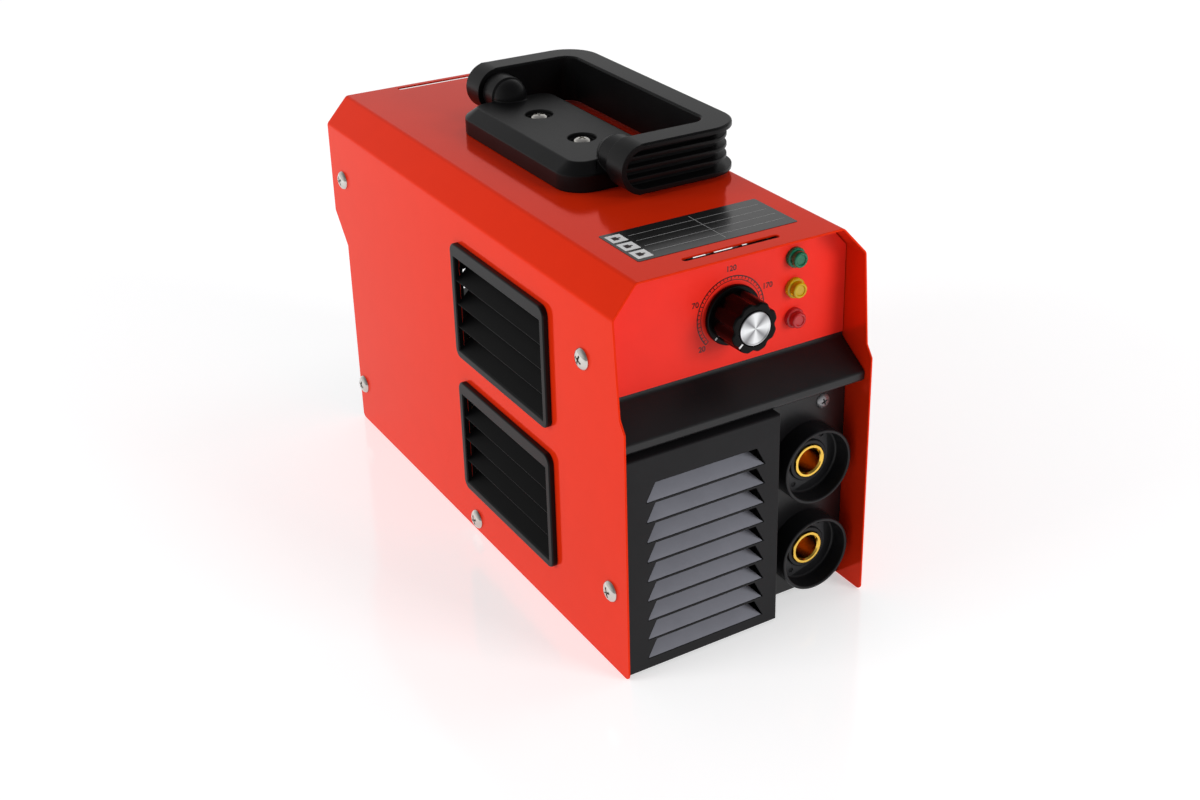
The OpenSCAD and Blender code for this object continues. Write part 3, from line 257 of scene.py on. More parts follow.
def lathe(bm, profile, place, steps=64, shape=None, closed=False):
    """
    Revolves (radius, height) points in mm about the place's outward axis.
    shape gives a ring's radius at an angle, and closed joins the last ring to the first.
    """
    rings = []
    for radius, height in profile:
        if radius < 1e-6:
            rings.append([bm.verts.new(place @ Vector((0, 0, height * MM)))])
            continue
        ring = []
        for i in range(steps):
            a = TAU * i / steps
            r = (shape(a, radius, height) if shape else radius) * MM
            ring.append(bm.verts.new(place @ Vector((r * math.cos(a), r * math.sin(a), height * MM))))
        rings.append(ring)
    pairs = list(zip(rings, rings[1:])) + ([(rings[-1], rings[0])] if closed else [])
    for low, high in pairs:
        for i in range(steps):
            j = (i + 1) % steps
            if len(low) == 1:
                bm.faces.new((low[0], high[i], high[j]))
            elif len(high) == 1:
                bm.faces.new((low[i], low[j], high[0]))
            else:
                bm.faces.new((low[i], low[j], high[j], high[i]))
    return bm


def fillet(points, radius, steps=4, closed=False):
    """The outline with each corner rounded by radius, or by the third value of that corner's point."""
    out = []
    count = len(points)
    for i, point in enumerate(points):
        p = Vector(point[:2])
        r = point[2] if len(point) > 2 else radius
        if r <= 0 or (not closed and i in (0, count - 1)):
            out.append(tuple(p))
            continue
        a = (Vector(points[i - 1][:2]) - p).normalized()
        b = (Vector(points[(i + 1) % count][:2]) - p).normalized()
        half = a.angle(b) / 2
        if half > math.radians(89):
            out.append(tuple(p))
            continue
        centre = p + (a + b).normalized() * (r / math.sin(half))
        start = p + a * (r / math.tan(half)) - centre
        turn = math.pi - 2 * half
        sign = -1 if a.x * b.y - a.y * b.x > 0 else 1
        for k in range(steps + 1):
            t = sign * turn * k / steps
            out.append((centre.x + start.x * math.cos(t) - start.y * math.sin(t),
                        centre.y + start.x * math.sin(t) + start.y * math.cos(t)))
    return out


def slab(bm, outline, low, high, place):
    """A flat plate with that (x, y) outline in mm, from low to high along the place's outward axis."""
    bottom = [bm.verts.new(place @ Vector((x * MM, y * MM, low * MM))) for x, y in outline]
    top = [bm.verts.new(place @ Vector((x * MM, y * MM, high * MM))) for x, y in outline]
    bm.faces.new(list(reversed(bottom)))
    bm.faces.new(top)
    count = len(outline)
    for i in range(count):
        j = (i + 1) % count
        bm.faces.new((bottom[i], bottom[j], top[j], top[i]))
    return bm


def frustum(bm, rings):
    """A closed solid through (height, outline) rings in mm, all with the same number of points."""
    loops = [[bm.verts.new((x * MM, y * MM, height * MM)) for x, y in outline] for height, outline in rings]
    bm.faces.new(list(reversed(loops[0])))
    bm.faces.new(loops[-1])
    for low, high in zip(loops, loops[1:]):
        for i in range(len(low)):
            j = (i + 1) % len(low)
            bm.faces.new((low[i], low[j], high[j], high[i]))
    return bm


def bar(bm, x0, y0, x1, y1, low, high, place):
    """A flat rectangular plate between two (x, y) corners in mm."""
    return slab(bm, [(x0, y0), (x1, y0), (x1, y1), (x0, y1)], low, high, place)


def carved(bm, cutter):
    """The first solid less the second."""
    objects = []
    for part in (bm, cutter):
        bmesh.ops.recalc_face_normals(part, faces=part.faces)
        mesh = bpy.data.meshes.new("carving")
        part.to_mesh(mesh)
        part.free()
        objects.append(bpy.data.objects.new("carving", mesh))
        bpy.context.scene.collection.objects.link(objects[-1])
    modifier = objects[0].modifiers.new("cut", "BOOLEAN")
    modifier.operation, modifier.solver, modifier.object = "DIFFERENCE", "EXACT", objects[1]
    bpy.context.view_layer.update()
    result = bmesh.new()
    result.from_mesh(objects[0].evaluated_get(bpy.context.evaluated_depsgraph_get()).data)
    for piece in objects:
        bpy.data.objects.remove(piece)
    return result


def copy_into(bm, other, matrix):
    """Adds the other bmesh to the first, moved by matrix."""
    mesh = bpy.data.meshes.new("copy")
    other.to_mesh(mesh)
    mesh.transform(matrix)
    bm.from_mesh(mesh)
    bpy.data.meshes.remove(mesh)


def near(a, b):
    """Whether two coordinates are the same, as near as the CAD mesh can tell."""
    return abs(a - b) < 0.05 * MM


def centre_of(node):
    """The middle of a CAD node's box."""
    low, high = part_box(node)
    return (low + high) / 2


# ---------------------------------------------------------------- screws

def phillips_screw(head_r, head_h, shank_r, shank_l):
    """A pan head with a tapered cross recess on a threaded shank, facing up, seat at height 0."""
    dome = [(0, head_h), (head_r * 0.35, head_h * 0.98), (head_r * 0.62, head_h * 0.88),
            (head_r * 0.84, head_h * 0.66), (head_r * 0.96, head_h * 0.36), (head_r, head_h * 0.12),
            (head_r * 0.985, 0.0), (shank_r, 0.0)]
    pitch, root = 0.7, 0.86
    steps = 2 * int(shank_l / pitch)
    thread = [(shank_r * (root if k % 2 else 1.0), -shank_l * (k + 1) / (steps + 1)) for k in range(steps)]
    bm = lathe(bmesh.new(), dome + thread + [(shank_r * 0.7, -shank_l), (0, -shank_l)], UP, 40)

    wing, half = head_r * 0.52, head_r * 0.10
    recess_floor = (head_h - head_r * 0.42, wing * 0.5, half * 0.8)
    recess_mouth = (head_h + 0.5, wing * 1.1, half * 1.15)
    rings = []
    for height, reach, wide in (recess_floor, recess_mouth):
        outline = []
        for c, d in ((1, 0), (0, -1), (-1, 0), (0, 1)):
            arm = [(wide, wide), (reach, wide), (reach, -wide)]
            outline += [(c * x - d * y, d * x + c * y) for x, y in arm]
        rings.append((height, outline))
    return carved(bm, frustum(bmesh.new(), rings))


def screw_group(name, node, slot, screw, places, look=None):
    """Copies of a screw at the given places, each turned a little further, standing for the CAD group."""
    first, step = 18, 47
    bm = bmesh.new()
    for i, place in enumerate(places):
        copy_into(bm, screw, place @ Matrix.Rotation(math.radians(first + step * i), 4, "Z"))
    screw.free()
    return add_piece(name, bm, slot, stands_for=(node,), look=look, smooth=38)


def solid_boxes(node):
    """The box of each separate solid in a CAD group, in order of their low corners."""
    bm = bmesh.new()
    bm.from_mesh(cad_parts[node].data)
    bmesh.ops.remove_doubles(bm, verts=bm.verts, dist=MERGE)
    left, boxes = set(bm.verts), []
    while left:
        stack = [left.pop()]
        found = list(stack)
        while stack:
            for edge in stack.pop().link_edges:
                for vert in edge.verts:
                    if vert in left:
                        left.remove(vert)
                        stack.append(vert)
                        found.append(vert)
        low = Vector(min(v.co[k] for v in found) for k in range(3))
        high = Vector(max(v.co[k] for v in found) for k in range(3))
        boxes.append((low, high))
    bm.free()
    return sorted(boxes, key=lambda b: tuple(round(c, 5) for c in b[0]))


def seats_of(node, facing, sink):
    """The place of each screw of a CAD group, with its seat sink mm behind the group's outermost face."""
    outward = facing.to_3x3().col[2]
    seat = max(corner.dot(outward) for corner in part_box(node)) - sink * MM
    places = []
    for low, high in solid_boxes(node):
        middle = (low + high) / 2
        places.append(at(facing, *(middle + outward * (seat - middle.dot(outward)))))
    return places


def make_screws():
    """Every visible screw; a size is the head's radius and height, then the shank's radius and length (mm)."""
    cover_low, cover_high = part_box("cover")
    boxes = solid_boxes("side_screws")
    places = []
    for low, high in boxes:
        middle = (low + high) / 2
        facing, wall = (LEFT, cover_low.x) if middle.x < 0 else (RIGHT, cover_high.x)
        places.append(at(facing, wall, middle.y, middle.z))
    head_r = (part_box("side_screws")[1].z - max(low.z for low, high in boxes)) / 2 / MM
    side_screw = phillips_screw(head_r, 2.7, 2.0, 6.0)
    screw_group("side_screw_heads", "side_screws", "screw_nickel", side_screw, places)

    seat_gap = 0.1
    for name, node, facing, size, slot, look in (
            ("front_plate_screw_head", "front_plate_screw", FRONT, (3.9, 1.5, 1.5, 6.0), "steel", "screw_dark"),
            ("rear_panel_screw_heads", "rear_panel_screws", REAR, (3.9, 1.5, 1.5, 8.0), "screw_nickel", None),
            ("fan_screw_heads", "fan_screws", REAR, (3.6, 1.7, 2.0, 26.0), "screw_nickel", None),
            ("handle_base_screw_heads", "handle_base_screws", UP, (4.8, 2.5, 2.0, 18.0), "screw_nickel", None)):
        places = seats_of(node, facing, size[1] + seat_gap)
        screw_group(name, node, slot, phillips_screw(*size), places, look)


# ---------------------------------------------------------------- casing

def make_casing():
    """The sheets, the panel's film, the grille and the four vents."""
    refine("cover", "cover_red", 0.25)
    refine("front_plate", "black_steel", 0.25)
    refine("base_tray", "black_steel", 0.25)
    refine("rear_panel", "black_steel", 0.25)
    refine("panel_overlay", "panel_red", 0.08, segments=1)
    make_grille()
    for node in ("vent_left_upper", "vent_left_lower", "vent_right_upper", "vent_right_lower"):
        make_vent(node)


def make_grille():
    """Folded grille box with a rounded rim; the upper faces of its louvres are painted much lighter than the
    sheet, a painted highlight for the light they catch from above.
    """
    bm = soften(cad_shape("louvre_grille"), 0.9, 3, where=is_grille_rim)
    bm = soften(bm, 0.15, 2)
    flaps = split_faces(bm, is_flap)
    # the flaps get the painted highlight, lighter than the rest of the sheet
    for name, mesh, look in (("louvre_grille_sheet", bm, "grille_steel"),
                             ("louvre_grille_flaps", flaps, "flap_steel_painted_light")):
        add_piece(name, mesh, "black_steel", stands_for=("louvre_grille",), look=look, fix=False)


def is_grille_rim(point):
    """Whether an edge's middle lies on the folded outer edge of the grille's front."""
    low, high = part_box("louvre_grille")
    at_side = near(point.x, low.x) or near(point.x, high.x)
    at_end = near(point.z, low.z) or near(point.z, high.z)
    return near(point.y, low.y) and (at_side or at_end)


def is_flap(face):
    """Whether a face is a louvre's broad upper face, which slopes up and forwards."""
    return face.normal.z > 0.5 and face.normal.y < -0.3 and face.calc_area() > BROAD


def is_blade(face):
    """Whether a face is a broad slanting face of a vent's blade."""
    return 0.6 < abs(face.normal.x) < 0.8 and face.calc_area() > BROAD


def split_faces(bm, chosen):
    """Takes the chosen faces out of the mesh and returns them as a mesh of their own."""
    bm.normal_update()
    taken = bm.copy()
    picks = [chosen(face) for face in bm.faces]
    for part, keep in ((taken, True), (bm, False)):
        part.faces.ensure_lookup_table()
        unwanted = [part.faces[i] for i, pick in enumerate(picks) if pick != keep]
        bmesh.ops.delete(part, geom=unwanted, context="FACES")
    return taken


def make_vent(node):
    """Vent frame with a rounded outer rim, a seal in the cover's window, and blades painted darker than the
    frame, a painted shade for the shadow on their slanting faces.
    """
    low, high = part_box(node)
    outside = low.x if abs(low.x) > abs(high.x) else high.x
    bm = soften(cad_shape(node), 0.8, 3, where=lambda p: near(p.x, outside))
    bm = soften(bm, 0.2, 2)
    blades = split_faces(bm, is_blade)
    add_piece(node + "_frame", bm, "black_plastic", stands_for=(node,), fix=False)
    # the blades' slanting faces get the painted shade, darker than the frame
    add_piece(node + "_blades", blades, "black_plastic", stands_for=(node,), look="blade_painted_shade", fix=False)

    cover_low, cover_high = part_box("cover")
    stands_out = (abs(outside) - max(abs(cover_low.x), abs(cover_high.x))) / MM
    back, front = -stands_out - 1.6, -stands_out - 0.1
    inner, outer = 4.6, 3.8  # the seal's edges, measured in from the frame's outline
    wide, tall = (high.y - low.y) / MM / 2, (high.z - low.z) / MM / 2
    middle = centre_of(node)
    place = at(LEFT if outside < 0 else RIGHT, outside, middle.y, middle.z)
    seal = bmesh.new()
    for side in (-1, 1):
        bar(seal, side * (wide - inner), inner - tall, side * (wide - outer), tall - outer, back, front, place)
        bar(seal, inner - wide, side * (tall - inner), wide - inner, side * (tall - outer), back, front, place)
    add_piece(node + "_seal", seal, "black_plastic")


# ---------------------------------------------------------------- handle

def make_handle():
    """The grip on the handle's body, and its base, nuts and pins on the casing."""
    low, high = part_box("handle_grip")
    bm = soften(cad_shape("handle_grip"), 1.2, 3, where=lambda p: near(p.z, high.z) or near(p.z, low.z))
    add_piece("handle_grip_finished", soften(bm, 0.4, 2), "black_plastic", "handle", ("handle_grip",))
    bm = soften(cad_shape("handle_base"), 0.7, 3)
    add_piece("handle_base_finished", bm, "black_plastic", stands_for=("handle_base",))
    refine("handle_nuts", "steel", 0.2)
    refine("handle_pivot_pins", "steel", 0.3)


# ---------------------------------------------------------------- knob and dial

DIAL_START = 222   # degrees at the knob's lowest setting
DIAL_SWEEP = 264   # degrees from there to its highest, clockwise
REST_ANGLE = math.radians(DIAL_START)
FLUTES = 8
FLUTE_DEPTH = 1.25


def fluted_body(angle, radius, height):
    """Lobes between round flutes on the outside of the knob's body; the recess for the cap stays round."""
    recess_limit, valley_share = 10.5, 0.34
    if radius <= recess_limit:
        return radius
    pitch = TAU / FLUTES
    phi = (angle - REST_ANGLE) % pitch - pitch / 2
    valley = pitch / 2 - abs(phi)
    depth = FLUTE_DEPTH * 0.5 * (1 + math.cos(min(1.0, valley / (pitch * valley_share)) * math.pi))
    return radius - depth


def make_knob():
    """Fluted body on a round skirt, turned cap and painted pointer; the parts behind are on the casing."""
    low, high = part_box("knob")
    cap_low, cap_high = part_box("knob_cap")
    middle = centre_of("knob")
    place = at(FRONT, middle.x, high.y, middle.z)
    skirt_r, body_r = (high.x - low.x) / 2 / MM, 12.6
    cap_r = (cap_high.x - cap_low.x) / 2 / MM
    tall = (high.y - low.y) / MM
    recess_r, recess_z = cap_r + 0.5, tall - 1.4
    skirt_h, bore_r = 2.2, 7.4
    foot_z = skirt_h - 0.4

    body = fillet([(body_r + 0.4, foot_z, 0), (body_r, tall, 1.1),
                   (recess_r, tall, 0.25), (recess_r, recess_z, 0)], 0, 5)
    bm = lathe(bmesh.new(), [(0.0, foot_z)] + body + [(0.0, recess_z)], place, 192, fluted_body)
    skirt = fillet([(bore_r, 0.0, 0), (skirt_r, 0.0, 0.3), (skirt_r, skirt_h, 0.8), (10.0, skirt_h, 0),
                    (bore_r, skirt_h, 0)], 0, 4)
    lathe(bm, skirt, place, 96, closed=True)
    add_piece("knob_body", bm, "knob_black", "knob", ("knob",))

    thick = (cap_high.y - cap_low.y) / MM
    cap_place = at(FRONT, middle.x, cap_high.y, middle.z)
    dish_z, groove_depth, steps = thick - 0.22, 0.03, 14
    rings = [(cap_r * k / steps, dish_z - groove_depth * (k % 2)) for k in range(1, steps - 1)]
    profile = [(0, 0), (cap_r, 0), (cap_r, thick - 0.3), (cap_r - 0.25, thick), (cap_r - 0.7, thick),
               (cap_r - 0.95, thick - 0.2)] + list(reversed(rings)) + [(0, dish_z)]
    bm = lathe(bmesh.new(), profile, cap_place, 96)
    add_piece("knob_cap_turned", bm, "cap_silver", "knob", ("knob_cap",))

    half, paint = 0.45, 0.03
    pointer = bmesh.new()
    turned = place @ Matrix.Rotation(REST_ANGLE, 4, "Z")
    bar(pointer, cap_r + 0.9, -half, body_r - 0.9, half, tall - 0.3, tall + paint, turned)
    bar(pointer, body_r + 0.5, -half, skirt_r - 0.5, half, skirt_h - 0.3, skirt_h + paint, turned)
    add_piece("knob_pointer", pointer, "knob_black", "knob", look="print_white")
    refine("knob_shaft", "steel", 0.2, "knob")
    for node in ("potentiometer", "potentiometer_nut"):
        refine(node, "steel", 0.2)


def make_dial():
    """Printed scale round the knob: two rings, tick marks and plain numbers."""
    middle = centre_of("knob")
    place = at(FRONT, middle.x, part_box("panel_overlay")[0].y, middle.z)
    outer_ring, inner_ring = (18.4, 0.55), (16.6, 0.34)
    pieces, ticks, long_every, short_start, half = 88, 40, 5, 17.4, 0.22

    bm = bmesh.new()
    for radius, wide in (outer_ring, inner_ring):
        for i in range(pieces):
            a0 = math.radians(DIAL_START - DIAL_SWEEP * i / pieces)
            a1 = math.radians(DIAL_START - DIAL_SWEEP * (i + 1) / pieces)
            corners = [(r * math.cos(a), r * math.sin(a))
                       for r, a in ((radius, a0), (radius + wide, a0), (radius + wide, a1), (radius, a1))]
            slab(bm, corners, *INK, place)
    for i in range(ticks + 1):
        turned = place @ Matrix.Rotation(math.radians(DIAL_START - DIAL_SWEEP * i / ticks), 4, "Z")
        start = short_start if i % long_every else inner_ring[0]
        bar(bm, start, -half, outer_ring[0] + 0.1, half, *INK, turned)
    add_piece("dial_scale", bm, "panel_red", look="print_dark")

    numbers, height, two_digit_reach, three_digit_reach = (20, 70, 120, 170, 220), 3.9, 21.6, 22.6
    bm = bmesh.new()
    for i, number in enumerate(numbers):
        a = math.radians(DIAL_START - DIAL_SWEEP * i / (len(numbers) - 1))
        curve = bpy.data.curves.new("dial_number", "FONT")
        curve.body = str(number)
        curve.size, curve.align_x, curve.align_y = height * MM, "CENTER", "CENTER"
        curve.extrude, curve.offset = 0.025 * MM, 0.09 * MM
        text = bpy.data.objects.new("dial_number", curve)
        mesh = bpy.data.meshes.new_from_object(text)
        reach = two_digit_reach if number < 100 else three_digit_reach
        mesh.transform(place @ Matrix.Translation((reach * math.cos(a) * MM, reach * math.sin(a) * MM, 0)))
        bm.from_mesh(mesh)
        bpy.data.objects.remove(text)
        bpy.data.meshes.remove(mesh)
    add_piece("dial_numbers", bm, "panel_red", look="print_dark")


# ---------------------------------------------------------------- lamps

def make_lamps():
    """Three lamps with a flange, a round lens and a shallow mouth, and the board behind them."""
    stem_r, lens_r, flange_h = 3.0, 4.0, 2.3
    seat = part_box("panel_overlay")[0].y
    for colour in ("green", "yellow", "red"):
        node = "lamp_" + colour
        low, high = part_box(node)
        middle = centre_of(node)
        flange_r = (high.x - low.x) / 2 / MM
        tall, deep = (seat - low.y) / MM, (high.y - seat) / MM
        profile = fillet([(0, -deep, 0), (stem_r, -deep, 0), (stem_r, 0, 0), (flange_r, 0, 0.2),
                          (flange_r, flange_h, 0.7), (lens_r, flange_h, 0.3), (lens_r, tall, 0.9),
                          (2.7, tall, 0.25), (2.4, tall - 0.7, 0.3), (0, tall - 0.7, 0)], 0, 4)
        place = at(FRONT, middle.x, seat, middle.z)
        add_piece(node + "_lens", lathe(bmesh.new(), profile, place, 64), "lens_" + colour, stands_for=(node,))
    refine("lamp_board", "board_green", 0.15)


# ---------------------------------------------------------------- sockets

SOCKET_BORE = 11.0  # radius of the hole in a socket's cup that the insert stands in
INSERT_R = 9.0
INSERT_END = -27.4  # where the thick part of an insert ends, behind its front face


def make_sockets():
    """Two output sockets, each a cup round a brass insert, with their nuts and busbars."""
    for level in ("upper", "lower"):
        shroud, insert = "socket_shroud_" + level, "socket_insert_" + level
        low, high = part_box(shroud)
        middle = centre_of(shroud)
        outer = (high.x - low.x) / 2 / MM
        tall, wall, floor_z, collar_z = 11.5, 1.7, 1.5, 3.4
        place = at(FRONT, middle.x, low.y + tall * MM, middle.z)
        profile = fillet([(INSERT_R, -16.0, 0), (SOCKET_BORE, -16.0, 0.4), (SOCKET_BORE, 0.0, 0),
                          (outer, 0.0, 0.3), (outer, tall, 0.7), (outer - wall, tall, 0.7),
                          (outer - wall, floor_z, 1.2), (11.3, floor_z, 0.3), (SOCKET_BORE, collar_z, 0.6),
                          (INSERT_R, collar_z, 0.2)], 0, 4, closed=True)
        bm = lathe(bmesh.new(), profile, place, 96, closed=True)
        add_piece(shroud + "_cup", bm, "black_plastic", stands_for=(shroud,), look="cup_black")
        make_socket_flange(level, place)

        front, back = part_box(insert)[0].y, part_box(insert)[1].y
        place = at(FRONT, middle.x, front, middle.z)
        tail, tail_r, bore_r, bore_end = (back - front) / MM, 5.0, 6.5, -25.4
        profile = fillet([(0, -tail, 0), (tail_r, -tail, 0.5), (tail_r, INSERT_END, 0),
                          (INSERT_R, INSERT_END, 0.4), (INSERT_R, 0.0, 0.7), (7.3, 0.0, 0.25),
                          (bore_r, -0.9, 0.3), (bore_r, bore_end, 0), (0, bore_end, 0)], 0, 4)
        bm = lathe(bmesh.new(), profile, place, 96, eight_sided)
        add_piece(insert + "_turned", bm, "brass", stands_for=(insert,))
    refine("socket_nuts", "brass", 0.3)
    refine("busbar_positive", "copper", 0.3)
    refine("busbar_negative", "copper", 0.3)


def eight_sided(angle, radius, height):
    """Eight small flats on the front rim of the brass insert; its tail and bore stay round."""
    if radius < 8.0 or height < -3.0:
        return radius
    eighth, flat_r = TAU / 8, 8.55
    return min(radius, flat_r / math.cos((angle + eighth / 2) % eighth - eighth / 2))


def make_socket_flange(level, place):
    """Raised lozenge on the cup's floor, with a hole near each end."""
    lobe, reach, round_r = 3.4, 14.5, 12.6
    bottom, top, above = 1.2, 2.0, 4
    lobe_steps, side_steps = 6, 10
    tilt = math.radians(55)
    lean = math.acos((round_r - lobe) / reach)
    points = []
    for start in (0, math.pi):
        for k in range(lobe_steps + 1):
            a = start - lean + 2 * lean * k / lobe_steps
            points.append((reach * math.cos(start) + lobe * math.cos(a),
                           reach * math.sin(start) + lobe * math.sin(a)))
        for k in range(1, side_steps):
            a = start + lean + (math.pi - 2 * lean) * k / side_steps
            points.append((round_r * math.cos(a), round_r * math.sin(a)))
    bm = slab(bmesh.new(), points, bottom, top, place @ Matrix.Rotation(tilt, 4, "Z"))

    centre_r, hole_r = SOCKET_BORE + 0.1, 1.4
    cutter = lathe(bmesh.new(), [(0, 0), (centre_r, 0), (centre_r, above), (0, above)], place, 96)
    for side in (0, math.pi):
        a = tilt + side
        hole = place @ Matrix.Translation((reach * math.cos(a) * MM, reach * math.sin(a) * MM, 0))
        lathe(cutter, [(0, 0), (hole_r, 0), (hole_r, above), (0, above)], hole, 32)
    bm = soften(carved(bm, cutter), 0.2, 2, 40)
    add_piece("socket_flange_" + level, bm, "black_plastic", look="socket_grey")


# ---------------------------------------------------------------- rating label

def make_label():
    """Plain rating plate without lettering: a dark film with a light grid and three marked squares."""
    low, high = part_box("rating_label")
    refine("rating_label", "label_grey", 0.05, segments=1)
    wide, deep = (high.x - low.x) / MM, (high.y - low.y) / MM
    place = at(UP, low.x, low.y, high.z)
    strip, half, rows, column = 10.5, 0.12, 5, wide * 0.55

    bm = bmesh.new()
    for k in range(1, rows):
        y = deep * k / rows
        bar(bm, strip + 1.5, y - half, wide - 3, y + half, *INK, place)
    bar(bm, column - half, 2, column + half, deep - 2, *INK, place)
    add_piece("label_grid", bm, "label_grey", look="print_light")

    squares, edge, gap = 3, 1.5, 1.1
    cell = (deep - 2 * edge) / squares
    bm = bmesh.new()
    for k in range(squares):
        y = edge + k * cell
        bar(bm, 1.6, y + gap, strip - 0.8, y + cell - gap, *INK, place)
    add_piece("label_squares", bm, "label_grey", look="print_white")

    centre = strip / 2
    bm = bmesh.new()
    for k in range(squares):
        y = edge + (k + 0.5) * cell
        bar(bm, centre - 1.7, y - 1.9, centre + 1.1, y + 1.9, *INK_OVER, place)
        bar(bm, centre + 1.1, y - 0.6, centre + 2.5, y + 0.6, *INK_OVER, place)
    add_piece("label_marks", bm, "label_grey", look="print_dark")


# ---------------------------------------------------------------- rear

def make_rear():
    """The fan and its guard, the power switch, the cable gland and the earth stud."""
    refine("fan_frame", "fan_black", 0.4)
    refine("fan_guard", "steel", 0.1, segments=1)
    make_rotor()
    refine("power_switch_body", "black_plastic", 0.5)
    refine("power_switch_rocker", "rocker_red", 0.3, "rocker")
    make_gland()
    make_earth_stud()


def make_rotor():
    """Hub with a rounded face and swept, twisted blades that are thicker in the middle."""
    low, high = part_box("fan_rotor")
    middle = centre_of("fan_rotor")
    place = at(REAR, middle.x, high.y, middle.z)
    total, hub_deep, hub_r, shaft_r = (high.y - low.y) / MM, 18.0, 19.0, 2.95
    hub = fillet([(0, -total, 0), (shaft_r, -total, 0.3), (shaft_r, -hub_deep, 0), (hub_r, -hub_deep, 0.5),
                  (hub_r, 0, 1.8), (0, 0, 0)], 0, 5)
    bm = lathe(bmesh.new(), hub, place, 64)

    root_r, tip_r = hub_r - 0.8, (high.z - low.z) / 2 / MM - 0.4
    blades, across, along, half_thick = 7, 8, 10, 0.7
    rim = ([(i, 0) for i in range(across)] + [(across, j) for j in range(along)]
           + [(i, along) for i in range(across, 0, -1)] + [(0, j) for j in range(along, 0, -1)])
    for b in range(blades):
        sheets = []
        for side in (-half_thick, half_thick):
            sheet = []
            for i in range(across + 1):
                out = i / across
                r = root_r + (tip_r - root_r) * out
                span = (13.5 + 4 * out) / r
                sweep = 0.22 * out ** 1.5
                rise = 15.0 - 3.0 * out
                row = []
                for j in range(along + 1):
                    t = j / along - 0.5
                    a = TAU * b / blades + span * t + sweep
                    h = -hub_deep / 2 + rise * t + 3.2 * (t * t - 0.25)
                    h += side * (1 - 1.2 * t * t)
                    point = Vector((r * math.cos(a) * MM, r * math.sin(a) * MM, h * MM))
                    row.append(bm.verts.new(place @ point))
                sheet.append(row)
            sheets.append(sheet)
        lower, upper = sheets
        for i in range(across):
            for j in range(along):
                for s in sheets:
                    bm.faces.new((s[i][j], s[i + 1][j], s[i + 1][j + 1], s[i][j + 1]))
        for k, (i, j) in enumerate(rim):
            ni, nj = rim[(k + 1) % len(rim)]
            bm.faces.new((lower[i][j], lower[ni][nj], upper[ni][nj], upper[i][j]))
    add_piece("fan_rotor_bladed", bm, "fan_black", "fan", ("fan_rotor",))


def hexagon_nut(bm, corner_r, low, high, hole_r, rounding, place, steps):
    """Adds a hexagon with a round hole, from low to high (mm) along the place's outward axis."""
    hexagon = [(corner_r * math.cos(TAU * k / 6), corner_r * math.sin(TAU * k / 6)) for k in range(6)]
    start, end = low - 2, high + 2
    hole = lathe(bmesh.new(), [(0, start), (hole_r, start), (hole_r, end), (0, end)], place, steps)
    nut = soften(carved(slab(bmesh.new(), hexagon, low, high, place), hole), rounding, 2, 40)
    copy_into(bm, nut, UP)
    nut.free()


def make_gland():
    """Gland body with a hexagon, a ribbed clamping cap and an open mouth, and its nut inside the panel."""
    middle = centre_of("cable_gland")
    place = at(REAR, middle.x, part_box("cable_gland")[1].y, middle.z)
    mouth_r, thread_r, thread_end, cap_r, cap_end = 5.5, 10.0, -27.0, 12.0, -14.5
    body = fillet([(mouth_r, thread_end, 0), (thread_r, thread_end, 0.5), (thread_r, cap_end, 0),
                   (cap_r, cap_end, 0.3), (cap_r, -3.4, 0.8), (9.4, -2.6, 0.3), (9.4, 0, 0.9),
                   (mouth_r, 0, 0.5)], 0, 4, closed=True)
    bm = lathe(bmesh.new(), body, place, 144, ribbed, closed=True)
    hexagon_nut(bm, 13.5, cap_end - 3.5, cap_end, thread_r - 0.2, 0.4, place, 64)
    add_piece("cable_gland_ribbed", bm, "black_plastic", stands_for=("cable_gland",))
    refine("gland_nut", "black_plastic", 0.4)


def ribbed(angle, radius, height):
    """Grip ribs round the gland's clamping cap."""
    ribs, half_depth = 18, 0.35
    if radius > 11.0 and -13.8 < height < -3.8:
        return radius - half_depth * (1 + math.cos(angle * ribs))
    return radius


def make_earth_stud():
    """Threaded brass stud with a hexagon nut on each side of the rear panel."""
    low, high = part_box("earth_stud")
    middle = centre_of("earth_stud")
    place = at(REAR, middle.x, low.y, middle.z)
    tall = (high.y - low.y) / MM
    steps, crest_r, root_r, end_r = 34, 3.0, 2.62, 2.5
    thread = [(crest_r if k % 2 else root_r, 0.6 + (tall - 1.2) * k / steps) for k in range(steps + 1)]
    bm = lathe(bmesh.new(), [(0, 0), (end_r, 0)] + thread + [(end_r, tall), (0, tall)], place, 48)

    stands_out, panel_thick, nut_h = 14, 1.2, 3.6
    panel_face = tall - stands_out
    for start in (panel_face, panel_face - panel_thick - nut_h):
        hexagon_nut(bm, 5.6, start, start + nut_h, 2.8, 0.35, place, 48)
    add_piece("earth_stud_threaded", bm, "brass", stands_for=("earth_stud",))


# ---------------------------------------------------------------- electronics

def make_electronics():
    """The boards and the large parts inside the casing."""
    for node, slot, width in (
            ("main_board", "board_green", 0.15), ("board_standoffs", "steel", 0.3),
            ("heatsink_left", "sink_aluminium", 0.2), ("heatsink_right", "sink_aluminium", 0.2),
            ("power_transistors", "package_black", 0.3), ("output_diodes", "package_black", 0.3),
            ("transformer_core", "ferrite", 0.8), ("transformer_winding", "winding_tape", 1.5),
            ("choke_core", "ferrite", 0.8), ("bulk_capacitors", "capacitor_blue", 0.8),
            ("bridge_rectifier", "package_black", 0.5), ("control_board", "board_green", 0.15),
            ("soft_start_relay", "relay_blue", 0.6)):
        refine(node, slot, width)
    make_choke_winding()


